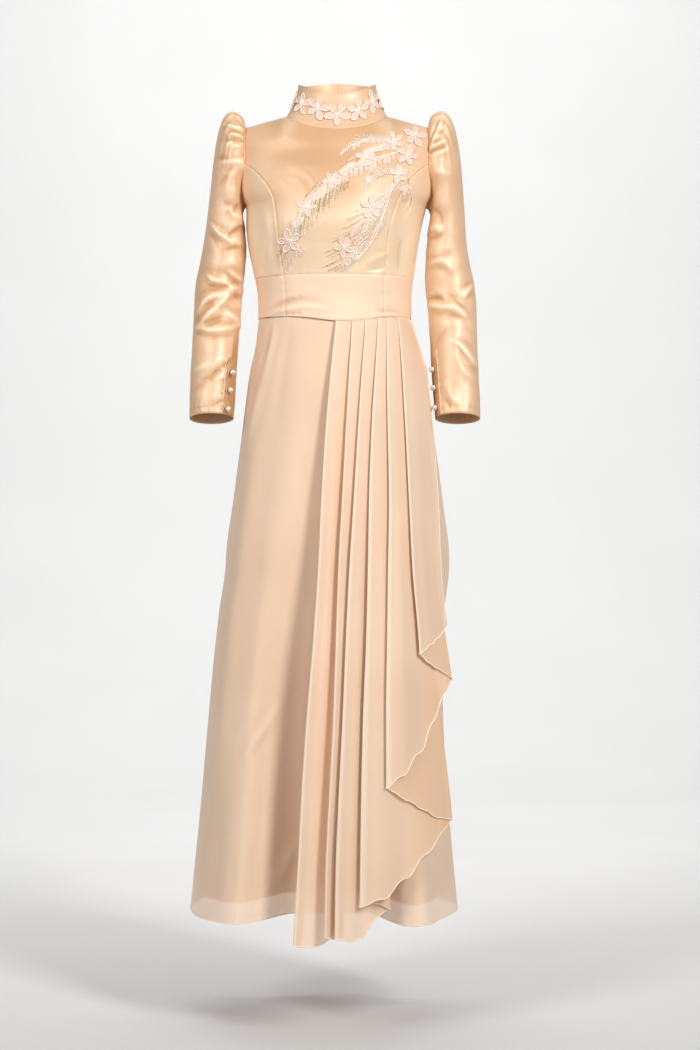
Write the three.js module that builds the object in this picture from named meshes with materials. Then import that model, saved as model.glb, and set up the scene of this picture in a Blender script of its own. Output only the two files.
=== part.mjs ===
// A filipiniana gown as it hangs on a general figure: hollow cloth walls, one mesh for each cut piece.
// Millimetres, +Z up, -Y is the front, +X the wearer's left. The origin is the middle of the shoulder line.
import * as THREE from 'three';

// ---------------------------------------------------------------- driving dimensions
const SATIN = 1.4; // wall of the interfaced satin pieces
const CHIFFON = 1.0; // wall of a chiffon or lining layer
const SEAM = 0.3; // gap between two sewn pieces
const APPLIQUE_LIFT = 0.7; // gap between a panel and what lies on it
const APPLIQUE = 1.2; // thickness of the applique
const NECK_HALF = 86; // half-width of the neckline at the shoulder
const NECK_DROP_FRONT = 32;
const NECK_DROP_BACK = 14;
const NAPE_RISE = 20; // the shoulder line's rise from the neckline's side to its middle
const SHOULDER_DROP = 17; // fall of the shoulder seam from neckline to armhole
const SHOULDER_RUN = 68;
const ARMHOLE_MIDDLE = -85; // height of the armhole's middle
const ARMHOLE_HALF = 68; // half the armhole's height
const BAND_TOP = -275;
const BAND_BOTTOM = -343;
const BAND_DIP = { depth: 11, at: 8, spread: 28 }; // the band's lower edge dips in front (mm, degrees)
const COLLAR_HEIGHT = 62; // mean height of the collar
const COLLAR_RADIUS = 72; // its mean radius
const COLLAR_TOP = { half: 66, front: 62, back: 60, frontRise: 29, sideRise: 55, backRise: 69 };
const HEM = -1340;
const LINING_HEM = -1306;
const LINING_INSET = 6; // how far inside the skirt the lining hangs below the hips
const LINING_INSET_RUN = 160; // height below the band over which that inset grows
const PEARL_RADIUS = 5;
const SHOULDER_ROUND = { all: 50, front: 40, back: 10 }; // height that the shoulders round off over, and more
const RAD = Math.PI / 180;

const table = (columns, ...rows) =>
  rows.map((row) => Object.fromEntries(columns.map((column, i) => [column, row[i]])));

// The torso's sections: middle, half-width, and depth to the front and to the back of it.
const TORSO = table(
  ['z', 'middle', 'half', 'front', 'back'],
  [25, 0, 172, 92, 98],
  [-60, 0, 171, 95, 100],
  [-100, 0, 169, 108, 104],
  [-134, 0, 163, 115, 104],
  [-153, -1, 153, 119, 103],
  [-190, -5, 148, 124, 98],
  [-225, -6, 143, 114, 92],
  [-275, -4.5, 134.5, 99, 88],
  [-310, -4, 130, 97, 88],
  [-356, -3.5, 131, 99, 91],
);
// Angle of the armhole's edge from the front, at each height.
const ARMHOLE = table(
  ['z', 'angle'],
  [25, 64],
  [-17, 64.2],
  [-45, 65],
  [-85, 65.2],
  [-110, 71],
  [-138, 81],
  [-153, 90],
);
// Half-width between the princess seams.
const PRINCESS = table(
  ['z', 'half'],
  [-85, 154.3],
  [-96, 141],
  [-112, 126],
  [-130, 113],
  [-156, 102],
  [-190, 95],
  [-239, 88],
  [-275, 85],
  [-356, 85],
);
// The skirt's sections, and how far its flutes are grown (0 none, 1 as at the hem).
const SKIRT = table(
  ['z', 'middle', 'half', 'front', 'back', 'flute'],
  [-343, -3.5, 129.5, 94, 88, 0],
  [-395, 1.5, 141, 102, 101, 0],
  [-430, 2.5, 150, 108, 110, 0.01],
  [-520, 1.5, 161, 118, 124, 0.04],
  [-650, 2, 178, 131, 138, 0.11],
  [-752, 2, 190, 141, 148, 0.19],
  [-850, -9, 191, 146, 157, 0.27],
  [-947, -15, 195, 154, 165, 0.38],
  [-1114, -19.5, 205, 174, 180, 0.62],
  [-1340, -21, 226.5, 200, 196, 1],
);
// Flutes at the hem, by angle from the front: push towards the front (-) or the back (+), rise of the hem.
const FLUTES = table(
  ['angle', 'push', 'rise'],
  [-90, 10, 0],
  [-60, -35, 0],
  [-40, -30, 0],
  [-28, 6, 3],
  [-12, 74, 8],
  [5, 80, 9],
  [20, 62, 8],
  [28, 20, 2],
  [37, -32, -2],
  [48, -58, 0],
  [60, -27, 0],
  [90, 15, 0],
  [112, -14, 0],
  [132, 26, 3],
  [152, -24, 0],
  [172, 22, 3],
  [192, -22, 0],
  [212, 26, 3],
  [234, -20, 0],
  [254, 16, 2],
  [270, 10, 0],
);
// The overskirt's own sections, just outside the skirt. fold: half the depth of a pleat, turn: the
// width of a rounded fold, step: how much further forward each pleat lies than the last.
const OVERSKIRT = table(
  ['z', 'middle', 'half', 'front', 'fold', 'turn', 'step'],
  [-340, -3.5, 131.5, 95.6, 0.9, 1.8, 0.1],
  [-380, -1, 141, 103, 1.8, 2, 0.5],
  [-430, 3, 156, 111, 2.8, 2.2, 0.9],
  [-520, 3, 169, 122, 4, 2.6, 1.4],
  [-650, 3, 184, 137, 5.5, 3, 2],
  [-752, 3, 198, 149, 7, 3.4, 2.6],
  [-947, 0, 215, 170, 9, 4, 3.4],
  [-1185, -5, 235, 197, 11, 4.4, 4],
  [-1375, -5, 250, 214, 12, 4.6, 4.4],
);
// Where each pleat's outer fold (left) and hidden fold (right) lies, across the front.
const FOLDS = table(
  [
    'z', 'left1', 'left2', 'left3', 'left4', 'left5', 'left6',
    'right1', 'right2', 'right3', 'right4', 'right5', 'right6',
  ],
  [-340, 0, 26, 48, 69, 83, 102, 40, 61, 82, 96, 115, 121],
  [-380, -4, 24, 46, 67, 83, 105, 38, 60, 82, 102, 121, 137],
  [-430, -9, 21, 42, 64, 83, 108, 35, 57, 82, 108, 127, 150],
  [-520, -17, 16, 36, 58, 84, 113, 30, 51, 83, 119, 138, 162],
  [-650, -25, 9, 28, 53, 86, 119, 23, 43, 84, 132, 151, 171],
  [-760, -30, 3, 21, 51, 84, 124, 17, 37, 84, 144, 162, 175],
  [-880, -38, -1, 15, 48, 82, 134, 13, 31, 85, 157, 181, 187],
  [-1000, -48, -5, 10, 43, 80, 140, 8, 26, 85, 170, 199, 203],
  [-1120, -56, -11, 4, 40, 80, 146, 4, 20, 86, 185, 214, 218],
  [-1240, -62, -17, -1, 38, 80, 150, 0, 15, 87, 197, 226, 230],
  [-1375, -70, -19, -3, 36, 80, 154, -4, 10, 88, 210, 238, 242],
);
// Hem height along each layer of the overskirt, from its left fold to its right fold.
const CASCADE = table(
  ['layer', 'start', 'quarter', 'middle', 'threeQuarters', 'end'],
  ['under0', -1366, -1367, -1367, -1366, -1364],
  ['face1', -1367, -1369, -1369, -1365, -1352],
  ['under1', -1350, -1350, -1350, -1351, -1352],
  ['face2', -1350, -1352, -1354, -1354, -1352],
  ['under2', -1352, -1352, -1352, -1352, -1352],
  ['face3', -1352, -1357, -1354, -1323, -1311],
  ['under3', -1302, -1300, -1298, -1303, -1311],
  ['face4', -1302, -1289, -1256, -1217, -1177],
  ['under4', -1115, -1133, -1149, -1168, -1177],
  ['face5', -1115, -1090, -1050, -991, -949],
  ['under5', -904, -917, -926, -934, -945],
  ['face6', -902, -893, -884, -874, -860],
);
const OVERSKIRT_RETURN = 16; // the strip turned back behind the first fold
// Sleeve rings: length from the seam, the upper (outer) and lower (inner) point, depth to the front and
// back, size of the cap's gathers and the ring's forward tilt in degrees.
const SLEEVE = table(
  ['s', 'outX', 'outZ', 'inX', 'inZ', 'front', 'back', 'gather', 'tilt'],
  [0, 154.6, -17, 154.6, -153, 43, 46, 0, 0],
  [11, 157.5, -6, 156.5, -155, 47, 49, 1.5, 0],
  [24, 165, 4, 158, -158, 51, 52, 2.4, 0],
  [38, 178, 8, 159, -161, 54, 54, 2.4, 0],
  [52, 190, 0, 159.5, -165, 55, 55, 1.9, 0],
  [70, 198, -16, 159, -171, 54, 54, 1.2, 0],
  [98, 205, -44, 157, -182, 52, 53, 0.5, 0],
  [131, 210, -76, 155.5, -197, 50, 52, 0, 0],
  [163, 213, -108, 154, -215, 48, 52, 0, 0],
  [197, 216, -142, 153, -234, 46, 52, 0, 0],
  [230, 218.5, -175, 153, -252, 45, 52, 0, 0],
  [267, 222, -212, 153, -270, 44, 51, 0, 0],
  [303, 228, -248, 154, -289, 44, 49, 0, 1],
  [337, 235, -282, 156, -310, 45, 46, 0, 2],
  [370, 238, -315, 158, -333, 48, 42, 0, 4],
  [403, 239, -348, 160, -358, 52, 38, 0, 6],
  [439, 240, -384, 162, -386, 57, 33, 0, 7.5],
  [473, 242, -418, 163.5, -416, 62, 28, 0, 8.5],
  [505, 243, -450, 165.5, -446, 66, 24, 0, 9],
  [537, 244, -482, 167.5, -478, 70, 20, 0, 9],
  [568, 244, -513, 169.5, -512, 74, 17, 0, 9],
);
const GATHERS = 4; // waves on each side of the sleeve head
const GATHER_ARC = 75; // degrees from the top of the sleeve head that they cover
// Large soft folds of the sleeves: from (angle, length) to (angle, length), half-width and height.
const SLEEVE_FOLDS = table(
  ['side', 'angle1', 's1', 'angle2', 's2', 'width', 'height'],
  [-1, 50, 305, 125, 335, 13, 2.6],
  [-1, 125, 335, 24, 386, 13, 2.6],
  [-1, 150, 374, 24, 414, 12, 2.0],
  [-1, 140, 170, 178, 160, 12, -2.6],
  [-1, 46, 228, 148, 193, 12, -2.0],
  [-1, 215, 338, 300, 378, 13, 2.6],
  [1, 20, 350, 130, 378, 13, 2.4],
  [1, 93, 415, 17, 471, 12, 2.2],
  [1, 120, 436, 40, 498, 12, 1.8],
  [1, 150, 150, 108, 205, 14, -3.2],
  [1, 215, 350, 300, 372, 13, 2.6],
);
// Applique flowers of the collar: angle round the neck, height up the collar (0 to 1), radius, turn.
const COLLAR_FLOWERS = table(
  ['angle', 'height', 'radius', 'turn'],
  [-83, 0.52, 15.5, 0],
  [-55, 0.5, 16, 20],
  [-27, 0.52, 16, 8],
  [1, 0.42, 17, 54],
  [30, 0.46, 16.5, 12],
  [57, 0.56, 15.5, 26],
  [84, 0.52, 15.5, 4],
);
// Applique flowers of the bodice, in two falling sprays.
const BODICE_FLOWERS = table(
  ['x', 'z', 'radius', 'turn'],
  [130, -40, 16, 10],
  [96, -51, 13, 40],
  [117, -75, 15, 0],
  [103, -108, 13, 25],
  [46, -84, 13, 15],
  [-8, -123, 12, 50],
  [-50, -168, 13, 5],
  [-78, -221, 17, 30],
  [58, -166, 18, 18],
  [12, -232, 14, 44],
);
// Corded leaves of the sprays: ends, sideways bow and width.
const SPRAYS = table(
  ['x1', 'z1', 'x2', 'z2', 'bow', 'width'],
  [80, -60, 61, -72, 3, 8],
  [30, -92, 4, -112, 5, 9],
  [-19, -135, -40, -156, 4, 9],
  [-57, -184, -69, -202, 3, 8],
  [96, -124, 75, -147, -5, 9],
  [44, -188, 23, -217, -6, 9],
);
const PEARLS = table(
  ['side', 'number', 's', 'angle'],
  [-1, 1, 499, 136],
  [-1, 2, 530, 135],
  [-1, 3, 560, 131],
  [1, 1, 492, 153],
  [1, 2, 524, 152],
  [1, 3, 556, 149],
);
const PLACKET = { from: 470, to: 566.5, halfAngle: 9 };

// ---------------------------------------------------------------- materials
const cloth = (color, roughness) =>
  new THREE.MeshStandardMaterial({ color, roughness, metalness: 0, side: THREE.DoubleSide });
const satinOf = () => cloth(0xf0cf9f, 0.35);
const chiffonOf = () => cloth(0xf6dcc0, 0.75);
const liningOf = () => cloth(0xe9c8a4, 0.6);
const appliqueOf = () => cloth(0xf8e0d6, 0.7);
const pearlOf = () => new THREE.MeshStandardMaterial({ color: 0xf6efe2, roughness: 0.2, metalness: 0.1 });

// ---------------------------------------------------------------- numbers and curves
const mix = (a, b, t) => a + (b - a) * t;
const steps = (count) => Array.from({ length: count + 1 }, (_, i) => i / count);
const smooth = (from, to, value) => {
  const t = Math.min(1, Math.max(0, (value - from) / (to - from)));
  return t * t * (3 - 2 * t);
};

// A table's column as a smooth function of its first column (monotone cubic).
function profile(rows, key, value) {
  const axis = Object.keys(rows[0])[0];
  const rising = rows[1][axis] > rows[0][axis] ? 1 : -1;
  const x = value * rising;
  const at = (i) => rows[i][axis] * rising;
  const last = rows.length - 1;
  if (x <= at(0)) return rows[0][key];
  if (x >= at(last)) return rows[last][key];
  let i = 0;
  while (x > at(i + 1)) i += 1;
  const slope = (k) => (rows[k + 1][key] - rows[k][key]) / (at(k + 1) - at(k));
  const tangent = (k) => {
    if (k === 0 || k === last) return slope(Math.min(k, last - 1));
    const before = slope(k - 1);
    const after = slope(k);
    return before * after <= 0 ? 0 : (2 * before * after) / (before + after);
  };
  const span = at(i + 1) - at(i);
  const t = (x - at(i)) / span;
  const a = rows[i][key];
  const b = rows[i + 1][key];
  const h = t * t * (3 - 2 * t);
  return mix(a, b, h) + span * t * (1 - t) * ((1 - t) * tangent(i) - t * tangent(i + 1));
}

// ---------------------------------------------------------------- walls
function solid(name, vertices, index, material) {
  const geometry = new THREE.BufferGeometry();
  const positions = vertices.flatMap((point) => point.toArray());
  geometry.setAttribute('position', new THREE.Float32BufferAttribute(positions, 3));
  let volume = 0;
  for (let i = 0; i < index.length; i += 3) {
    const [a, b, c] = [0, 1, 2].map((k) => vertices[index[i + k]]);
    volume += a.dot(new THREE.Vector3().crossVectors(b, c));
  }
  geometry.setIndex(volume > 0 ? index : index.slice().reverse());
  geometry.computeVertexNormals();
  const mesh = new THREE.Mesh(geometry, material);
  mesh.name = name;
  return mesh;
}

// Joins an outer and an inner grid of points (columns of rows) into one closed wall.
function wall(name, outer, inner, material, closed = false) {
  const columns = outer.length;
  const rows = outer[0].length;
  const at = (side, i, j) => (side * columns + (i % columns)) * rows + j;
  const index = [];
  const quad = (a, b, c, d) => index.push(a, b, c, a, c, d);
  for (let i = 0; i < (closed ? columns : columns - 1); i += 1) {
    for (let j = 0; j < rows - 1; j += 1) {
      quad(at(0, i, j), at(0, i, j + 1), at(0, i + 1, j + 1), at(0, i + 1, j));
      quad(at(1, i, j), at(1, i + 1, j), at(1, i + 1, j + 1), at(1, i, j + 1));
    }
    quad(at(0, i, 0), at(0, i + 1, 0), at(1, i + 1, 0), at(1, i, 0));
    quad(at(0, i, rows - 1), at(1, i, rows - 1), at(1, i + 1, rows - 1), at(0, i + 1, rows - 1));
  }
  if (!closed) {
    const end = columns - 1;
    for (let j = 0; j < rows - 1; j += 1) {
      quad(at(0, 0, j), at(1, 0, j), at(1, 0, j + 1), at(0, 0, j + 1));
      quad(at(0, end, j), at(0, end, j + 1), at(1, end, j + 1), at(1, end, j));
    }
  }
  return solid(name, [...outer.flat(), ...inner.flat()], index, material);
}

// Draws one edge of a panel back by half a seam, square to that edge.
function drawBack(outer, inner, edge) {
  const last = { column: outer.length - 1, row: outer[0].length - 1 };
  const cells = {
    left: outer[0].map((_, j) => [0, j, 1, j]),
    right: outer[0].map((_, j) => [last.column, j, last.column - 1, j]),
    top: outer.map((_, i) => [i, 0, i, 1]),
    bottom: outer.map((_, i) => [i, last.row, i, last.row - 1]),
  }[edge];
  const edgePoints = cells.map(([i, j]) => outer[i][j].clone());
  const moves = cells.map(([i, j, k, l], n) => {
    const along = edgePoints[Math.min(n + 1, cells.length - 1)].clone().sub(edgePoints[Math.max(n - 1, 0)]);
    const into = outer[k][l].clone().sub(outer[i][j]);
    into.addScaledVector(along, -into.dot(along) / Math.max(along.lengthSq(), 1e-9));
    return into.setLength(SEAM / 2);
  });
  cells.forEach(([i, j], n) => {
    outer[i][j].add(moves[n]);
    inner[i][j].add(moves[n]);
  });
}

// A panel of a surface: spots are [angle, z] pairs in columns of rows.
function panel(name, surface, spots, thickness, material, seams) {
  const outer = spots.map((column) => column.map(([angle, z]) => surface.point(angle, z)));
  const inner = spots.map((column, i) =>
    column.map(([angle, z], j) => outer[i][j].clone().addScaledVector(surface.normal(angle, z), -thickness)),
  );
  seams.forEach((edge) => drawBack(outer, inner, edge));
  return wall(name, outer, inner, material);
}

// ---------------------------------------------------------------- torso surface
const shoulderHeight = (x) => {
  const across = Math.abs(x);
  if (across < NECK_HALF) return NAPE_RISE * (1 - (across / NECK_HALF) ** 2);
  return (-SHOULDER_DROP * (across - NECK_HALF)) / SHOULDER_RUN;
};

const torso = {
  point(angle, z) {
    const sine = Math.sin(angle * RAD);
    const cosine = Math.cos(angle * RAD);
    const x = profile(TORSO, 'middle', z) + profile(TORSO, 'half', z) * sine;
    const middle = Math.max(0, 1 - (x / NECK_HALF) ** 2);
    const more = cosine > 0 ? SHOULDER_ROUND.front : SHOULDER_ROUND.back;
    const roundness = SHOULDER_ROUND.all + more * middle;
    const t = Math.min(1, Math.max(0, (shoulderHeight(x) - z) / roundness));
    const cap = Math.sqrt(1 - (1 - t) ** 2);
    const depth = profile(TORSO, cosine > 0 ? 'front' : 'back', z);
    return new THREE.Vector3(x, -depth * cosine * cap, z);
  },
  normal(angle, z) {
    const here = this.point(angle, z);
    const ridge = shoulderHeight(here.x);
    if (ridge - z < 1) {
      const slope = (shoulderHeight(here.x + 1) - shoulderHeight(here.x - 1)) / 2;
      return new THREE.Vector3(-slope, 0, 1).normalize();
    }
    const across = this.point(angle + 0.5, z).sub(this.point(angle - 0.5, z));
    const down = this.point(angle, z - 0.8).sub(this.point(angle, Math.min(z + 0.8, ridge - 0.1)));
    return down.cross(across).normalize();
  },
};

const armholeAngle = (z) => profile(ARMHOLE, 'angle', z);
const princessAngle = (z) =>
  Math.asin(Math.min(1, profile(PRINCESS, 'half', z) / profile(TORSO, 'half', z))) / RAD;
const bandBottom = (angle) =>
  BAND_BOTTOM - BAND_DIP.depth * Math.exp(-(((angle - BAND_DIP.at) / BAND_DIP.spread) ** 2));

// Angles round the armhole, the same for the bodice and the sleeve: 0 is the top, 90 the front.
const FRONT_TURN = [...steps(2 * GATHERS).map((t) => t * GATHER_ARC), 90, 112.5, 135, 157.5, 180];
const armholeHeight = (turn) => ARMHOLE_MIDDLE + ARMHOLE_HALF * Math.cos(turn * RAD);
const TO_PRINCESS = FRONT_TURN.filter((turn) => turn <= 90);
const BELOW = 8; // rows from the armhole to the waist

const neckFront = (u) => -NECK_DROP_FRONT * Math.max(0, 1 - u * u) ** 0.65;
const neckBack = (u) => NAPE_RISE * (1 - u * u) - NECK_DROP_BACK * Math.sqrt(Math.max(0, 1 - u * u));

// Height of the upper edge at a share u of the way from the middle to the shoulder's end.
function upperEdge(u, neck) {
  const across = Math.abs(u) * (NECK_HALF + SHOULDER_RUN);
  return across <= NECK_HALF + 0.01 ? neck(across / NECK_HALF) : shoulderHeight(across);
}
const NECK_SHARE = NECK_HALF / (NECK_HALF + SHOULDER_RUN);
const NECK_COLUMNS = [0, 0.3, 0.58, 0.81, 0.95, 1]; // shares of the neckline's half-width
const HALF_COLUMNS = NECK_COLUMNS.map((t) => t * NECK_SHARE)
  .concat([1 / 3, 2 / 3, 1].map((t) => mix(NECK_SHARE, 1, t)));

// Rows down a column, in the proportions of the panel's own side edge.
function rowsDown(edgeRows, top) {
  const [first, last] = [edgeRows[0], edgeRows[edgeRows.length - 1]];
  return edgeRows.map((z) => mix(top, last, (z - first) / (last - first)));
}

function bodiceFrontCenter() {
  const below = steps(BELOW).slice(1).map((t) => mix(ARMHOLE_MIDDLE, BAND_TOP, t));
  const edgeRows = [...TO_PRINCESS.map(armholeHeight), ...below];
  const shares = [...HALF_COLUMNS.slice(1).reverse().map((u) => -u), ...HALF_COLUMNS];
  const edgeAngle = (z) => (z >= ARMHOLE_MIDDLE - 1e-6 ? armholeAngle(z) : princessAngle(z));
  const spots = shares.map((u) =>
    rowsDown(edgeRows, upperEdge(u, neckFront)).map((z) => [
      Math.asin(u * Math.sin(edgeAngle(z) * RAD)) / RAD,
      z,
    ]),
  );
  return panel('bodice_front_center', torso, spots, SATIN, satinOf(), ['left', 'right', 'top', 'bottom']);
}

function bodiceSideFront(side, name) {
  const turns = FRONT_TURN.filter((turn) => turn >= 90);
  const underarm = ARMHOLE_MIDDLE - ARMHOLE_HALF;
  const waistAngle = princessAngle(BAND_TOP);
  const spots = turns.map((turn, i) => {
    const u = i / (turns.length - 1);
    return steps(BELOW).map((v) => {
      const inner = mix(ARMHOLE_MIDDLE, BAND_TOP, v);
      const outer = mix(underarm, BAND_TOP, v);
      const top = armholeHeight(turn);
      const corners = mix(mix(ARMHOLE_MIDDLE, underarm, u), BAND_TOP, v);
      const z = mix(top, BAND_TOP, v) + mix(inner, outer, u) - corners;
      const cornerAngle = mix(mix(armholeAngle(ARMHOLE_MIDDLE), 90, u), mix(waistAngle, 90, u), v);
      const edges = mix(armholeAngle(top), mix(waistAngle, 90, u), v);
      const seamAngle = v === 0 ? armholeAngle(ARMHOLE_MIDDLE) : princessAngle(inner);
      return [side * (edges + mix(seamAngle, 90, u) - cornerAngle), z];
    });
  });
  return panel(name, torso, spots, SATIN, satinOf(), ['left', 'right', 'top', 'bottom']);
}

function bodiceBack(side, name) {
  const underarm = ARMHOLE_MIDDLE - ARMHOLE_HALF;
  const below = steps(BELOW).slice(1).map((t) => mix(underarm, BAND_TOP, t));
  const edgeRows = [...FRONT_TURN.map(armholeHeight), ...below];
  const edgeAngle = (z) => (z >= underarm ? armholeAngle(z) : 90);
  const spots = HALF_COLUMNS.map((u) =>
    rowsDown(edgeRows, upperEdge(u, neckBack)).map((z) => [
      side * (180 - Math.asin(u * Math.sin(edgeAngle(z) * RAD)) / RAD),
      z,
    ]),
  );
  return panel(name, torso, spots, SATIN, satinOf(), ['left', 'right', 'top', 'bottom']);
}

function waistband(name, from, to, columns) {
  const spots = steps(columns).map((u) => {
    const angle = mix(from, to, u);
    return [0, 0.5, 1].map((v) => [angle, mix(BAND_TOP, bandBottom(angle), v)]);
  });
  return panel(name, torso, spots, SATIN, satinOf(), ['left', 'right', 'top', 'bottom']);
}

// ---------------------------------------------------------------- collar
// A point of the collar, by angle from the front and height from 0 (neckline) to 1 (upper edge).
const collar = {
  point(angle, height) {
    const sine = Math.sin(angle * RAD);
    const cosine = Math.cos(angle * RAD);
    const base = NECK_HALF * sine;
    const neck = cosine > 0 ? neckFront : neckBack;
    const depth = this.baseDepth(base, neck(Math.abs(sine)), cosine > 0);
    const foot = new THREE.Vector3(base, depth, neck(Math.abs(sine)));
    const top = COLLAR_TOP;
    const reach = cosine > 0 ? top.front : top.back;
    const end = cosine > 0 ? top.frontRise : top.backRise;
    const head = new THREE.Vector3(top.half * sine, -reach * cosine, mix(top.sideRise, end, cosine ** 2));
    const flare = (1 - height) ** 1.8;
    const [x, y] = [mix(head.x, foot.x, flare), mix(head.y, foot.y, flare)];
    return new THREE.Vector3(x, y, mix(foot.z, head.z, height));
  },
  baseDepth(x, z, front) {
    const angle = Math.asin(Math.min(1, Math.abs(x) / profile(TORSO, 'half', z))) / RAD;
    return torso.point(front ? angle : 180 - angle, z).y;
  },
  normal(angle, height) {
    const across = this.point(angle + 1, height).sub(this.point(angle - 1, height));
    const [low, high] = [Math.max(0, height - 0.04), Math.min(1, height + 0.04)];
    const down = this.point(angle, low).sub(this.point(angle, high));
    return down.cross(across).normalize();
  },
};

function collarStrip() {
  const quarter = NECK_COLUMNS.map((share) => Math.asin(share) / RAD);
  const half = [...quarter, ...quarter.slice(0, -1).reverse().map((angle) => 180 - angle)];
  const angles = [...half.slice(1).reverse().map((angle) => -angle), ...half];
  const spots = angles.map((angle) => [1, 0.75, 0.5, 0.25, 0].map((height) => [angle, height]));
  const outer = spots.map((column) => column.map(([angle, height]) => collar.point(angle, height)));
  const inner = spots.map((column, i) =>
    column.map(([angle, height], j) => {
      const out = collar.normal(angle, height).setZ(0).normalize();
      return outer[i][j].clone().addScaledVector(out, -SATIN);
    }),
  );
  ['left', 'right'].forEach((edge) => drawBack(outer, inner, edge));
  [outer, inner].forEach((grid) => grid.forEach((column) => (column[column.length - 1].z += SEAM)));
  return wall('collar', outer, inner, satinOf());
}

// ---------------------------------------------------------------- skirt
const skirt = {
  flute: (angle, key) => profile(FLUTES, key, angle < -90 ? angle + 360 : angle),
  hem(angle, hem) {
    return hem + this.flute(angle, 'rise');
  },
  point(angle, z) {
    const cosine = Math.cos(angle * RAD);
    const depth = profile(SKIRT, cosine > 0 ? 'front' : 'back', z);
    const push = this.flute(angle, 'push') * profile(SKIRT, 'flute', z);
    const x = profile(SKIRT, 'middle', z) + profile(SKIRT, 'half', z) * Math.sin(angle * RAD);
    return new THREE.Vector3(x, push - depth * cosine, z);
  },
  normal(angle, z) {
    const across = this.point(angle + 1, z).sub(this.point(angle - 1, z));
    const down = this.point(angle, z - 2).sub(this.point(angle, z + 2));
    return down.cross(across).normalize();
  },
};
const SKIRT_ROWS = [0, 0.045, 0.095, 0.18, 0.3, 0.45, 0.62, 0.81, 1];
const LINING_ROWS = [0, 0.06, 0.18, 0.4, 0.7, 1];
const SKIRT_STEP = 9; // degrees

function skirtPanel(name, from, to) {
  const columns = Math.round(Math.abs(to - from) / SKIRT_STEP);
  const spots = steps(columns).map((u) => {
    const angle = mix(from, to, u);
    const hem = skirt.hem(angle, HEM);
    return SKIRT_ROWS.map((v) => [angle, mix(bandBottom(angle), hem, v)]);
  });
  return panel(name, skirt, spots, CHIFFON, chiffonOf(), ['left', 'right', 'top']);
}

function skirtLining() {
  const inset = (z) => CHIFFON + SEAM + LINING_INSET * smooth(0, LINING_INSET_RUN, BAND_BOTTOM - z);
  const layer = (extra) =>
    steps(360 / SKIRT_STEP).slice(1).map((u) => {
      const angle = mix(-180, 180, u);
      const hem = skirt.hem(angle, LINING_HEM);
      return LINING_ROWS.map((v) => {
        const z = mix(bandBottom(angle) - SEAM, hem, v);
        return skirt.point(angle, z).addScaledVector(skirt.normal(angle, z), -inset(z) - extra);
      });
    });
  return wall('skirt_lining', layer(0), layer(CHIFFON), liningOf(), true);
}

// ---------------------------------------------------------------- overskirt
// How far the drape's base surface lies in front of the side line, at a place across it.
function drapeBase(x, z) {
  const share = Math.min(1, Math.abs(x - profile(OVERSKIRT, 'middle', z)) / profile(OVERSKIRT, 'half', z));
  return profile(OVERSKIRT, 'front', z) * Math.sqrt(1 - share * share);
}

// One point of a layer. Faces run from their outer fold (share 0) to their hidden fold (share 1);
// the layer under the next pleat runs back from this pleat's hidden fold to the next outer fold.
function drapePoint(kind, k, share, z) {
  const fold = profile(OVERSKIRT, 'fold', z);
  const turn = profile(OVERSKIRT, 'turn', z);
  const step = profile(OVERSKIRT, 'step', z);
  const left = (n) => profile(FOLDS, `left${n}`, z);
  const right = k === 0 ? left(1) + OVERSKIRT_RETURN : profile(FOLDS, `right${k}`, z);
  const start = kind === 'face' ? left(k) : left(k + 1);
  const near = kind === 'face' ? k * step + 2 * fold + turn : (k + 1) * step + 2 * fold;
  const far = kind === 'face' ? k * step : k * step + turn;
  const x = mix(start + turn / 2, right - turn / 2, share);
  const forward = mix(near, far, share);
  return new THREE.Vector3(x, -drapeBase(x, z) - forward, z);
}

function cascadeHem(kind, k, share) {
  const row = CASCADE.find((entry) => entry.layer === kind + k);
  const heights = [row.start, row.quarter, row.middle, row.threeQuarters, row.end];
  const i = Math.min(3, Math.floor(share * 4));
  return mix(heights[i], heights[i + 1], share * 4 - i);
}

const PLEATS = 6;
const WAIST = OVERSKIRT[0];
const DRAPE_ROWS = [ // shares of the way down
  0, 0.03, 0.07, 0.12, 0.19, 0.27, 0.36, 0.46, 0.56, 0.66, 0.76, 0.86, 0.93, 1,
];

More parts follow.
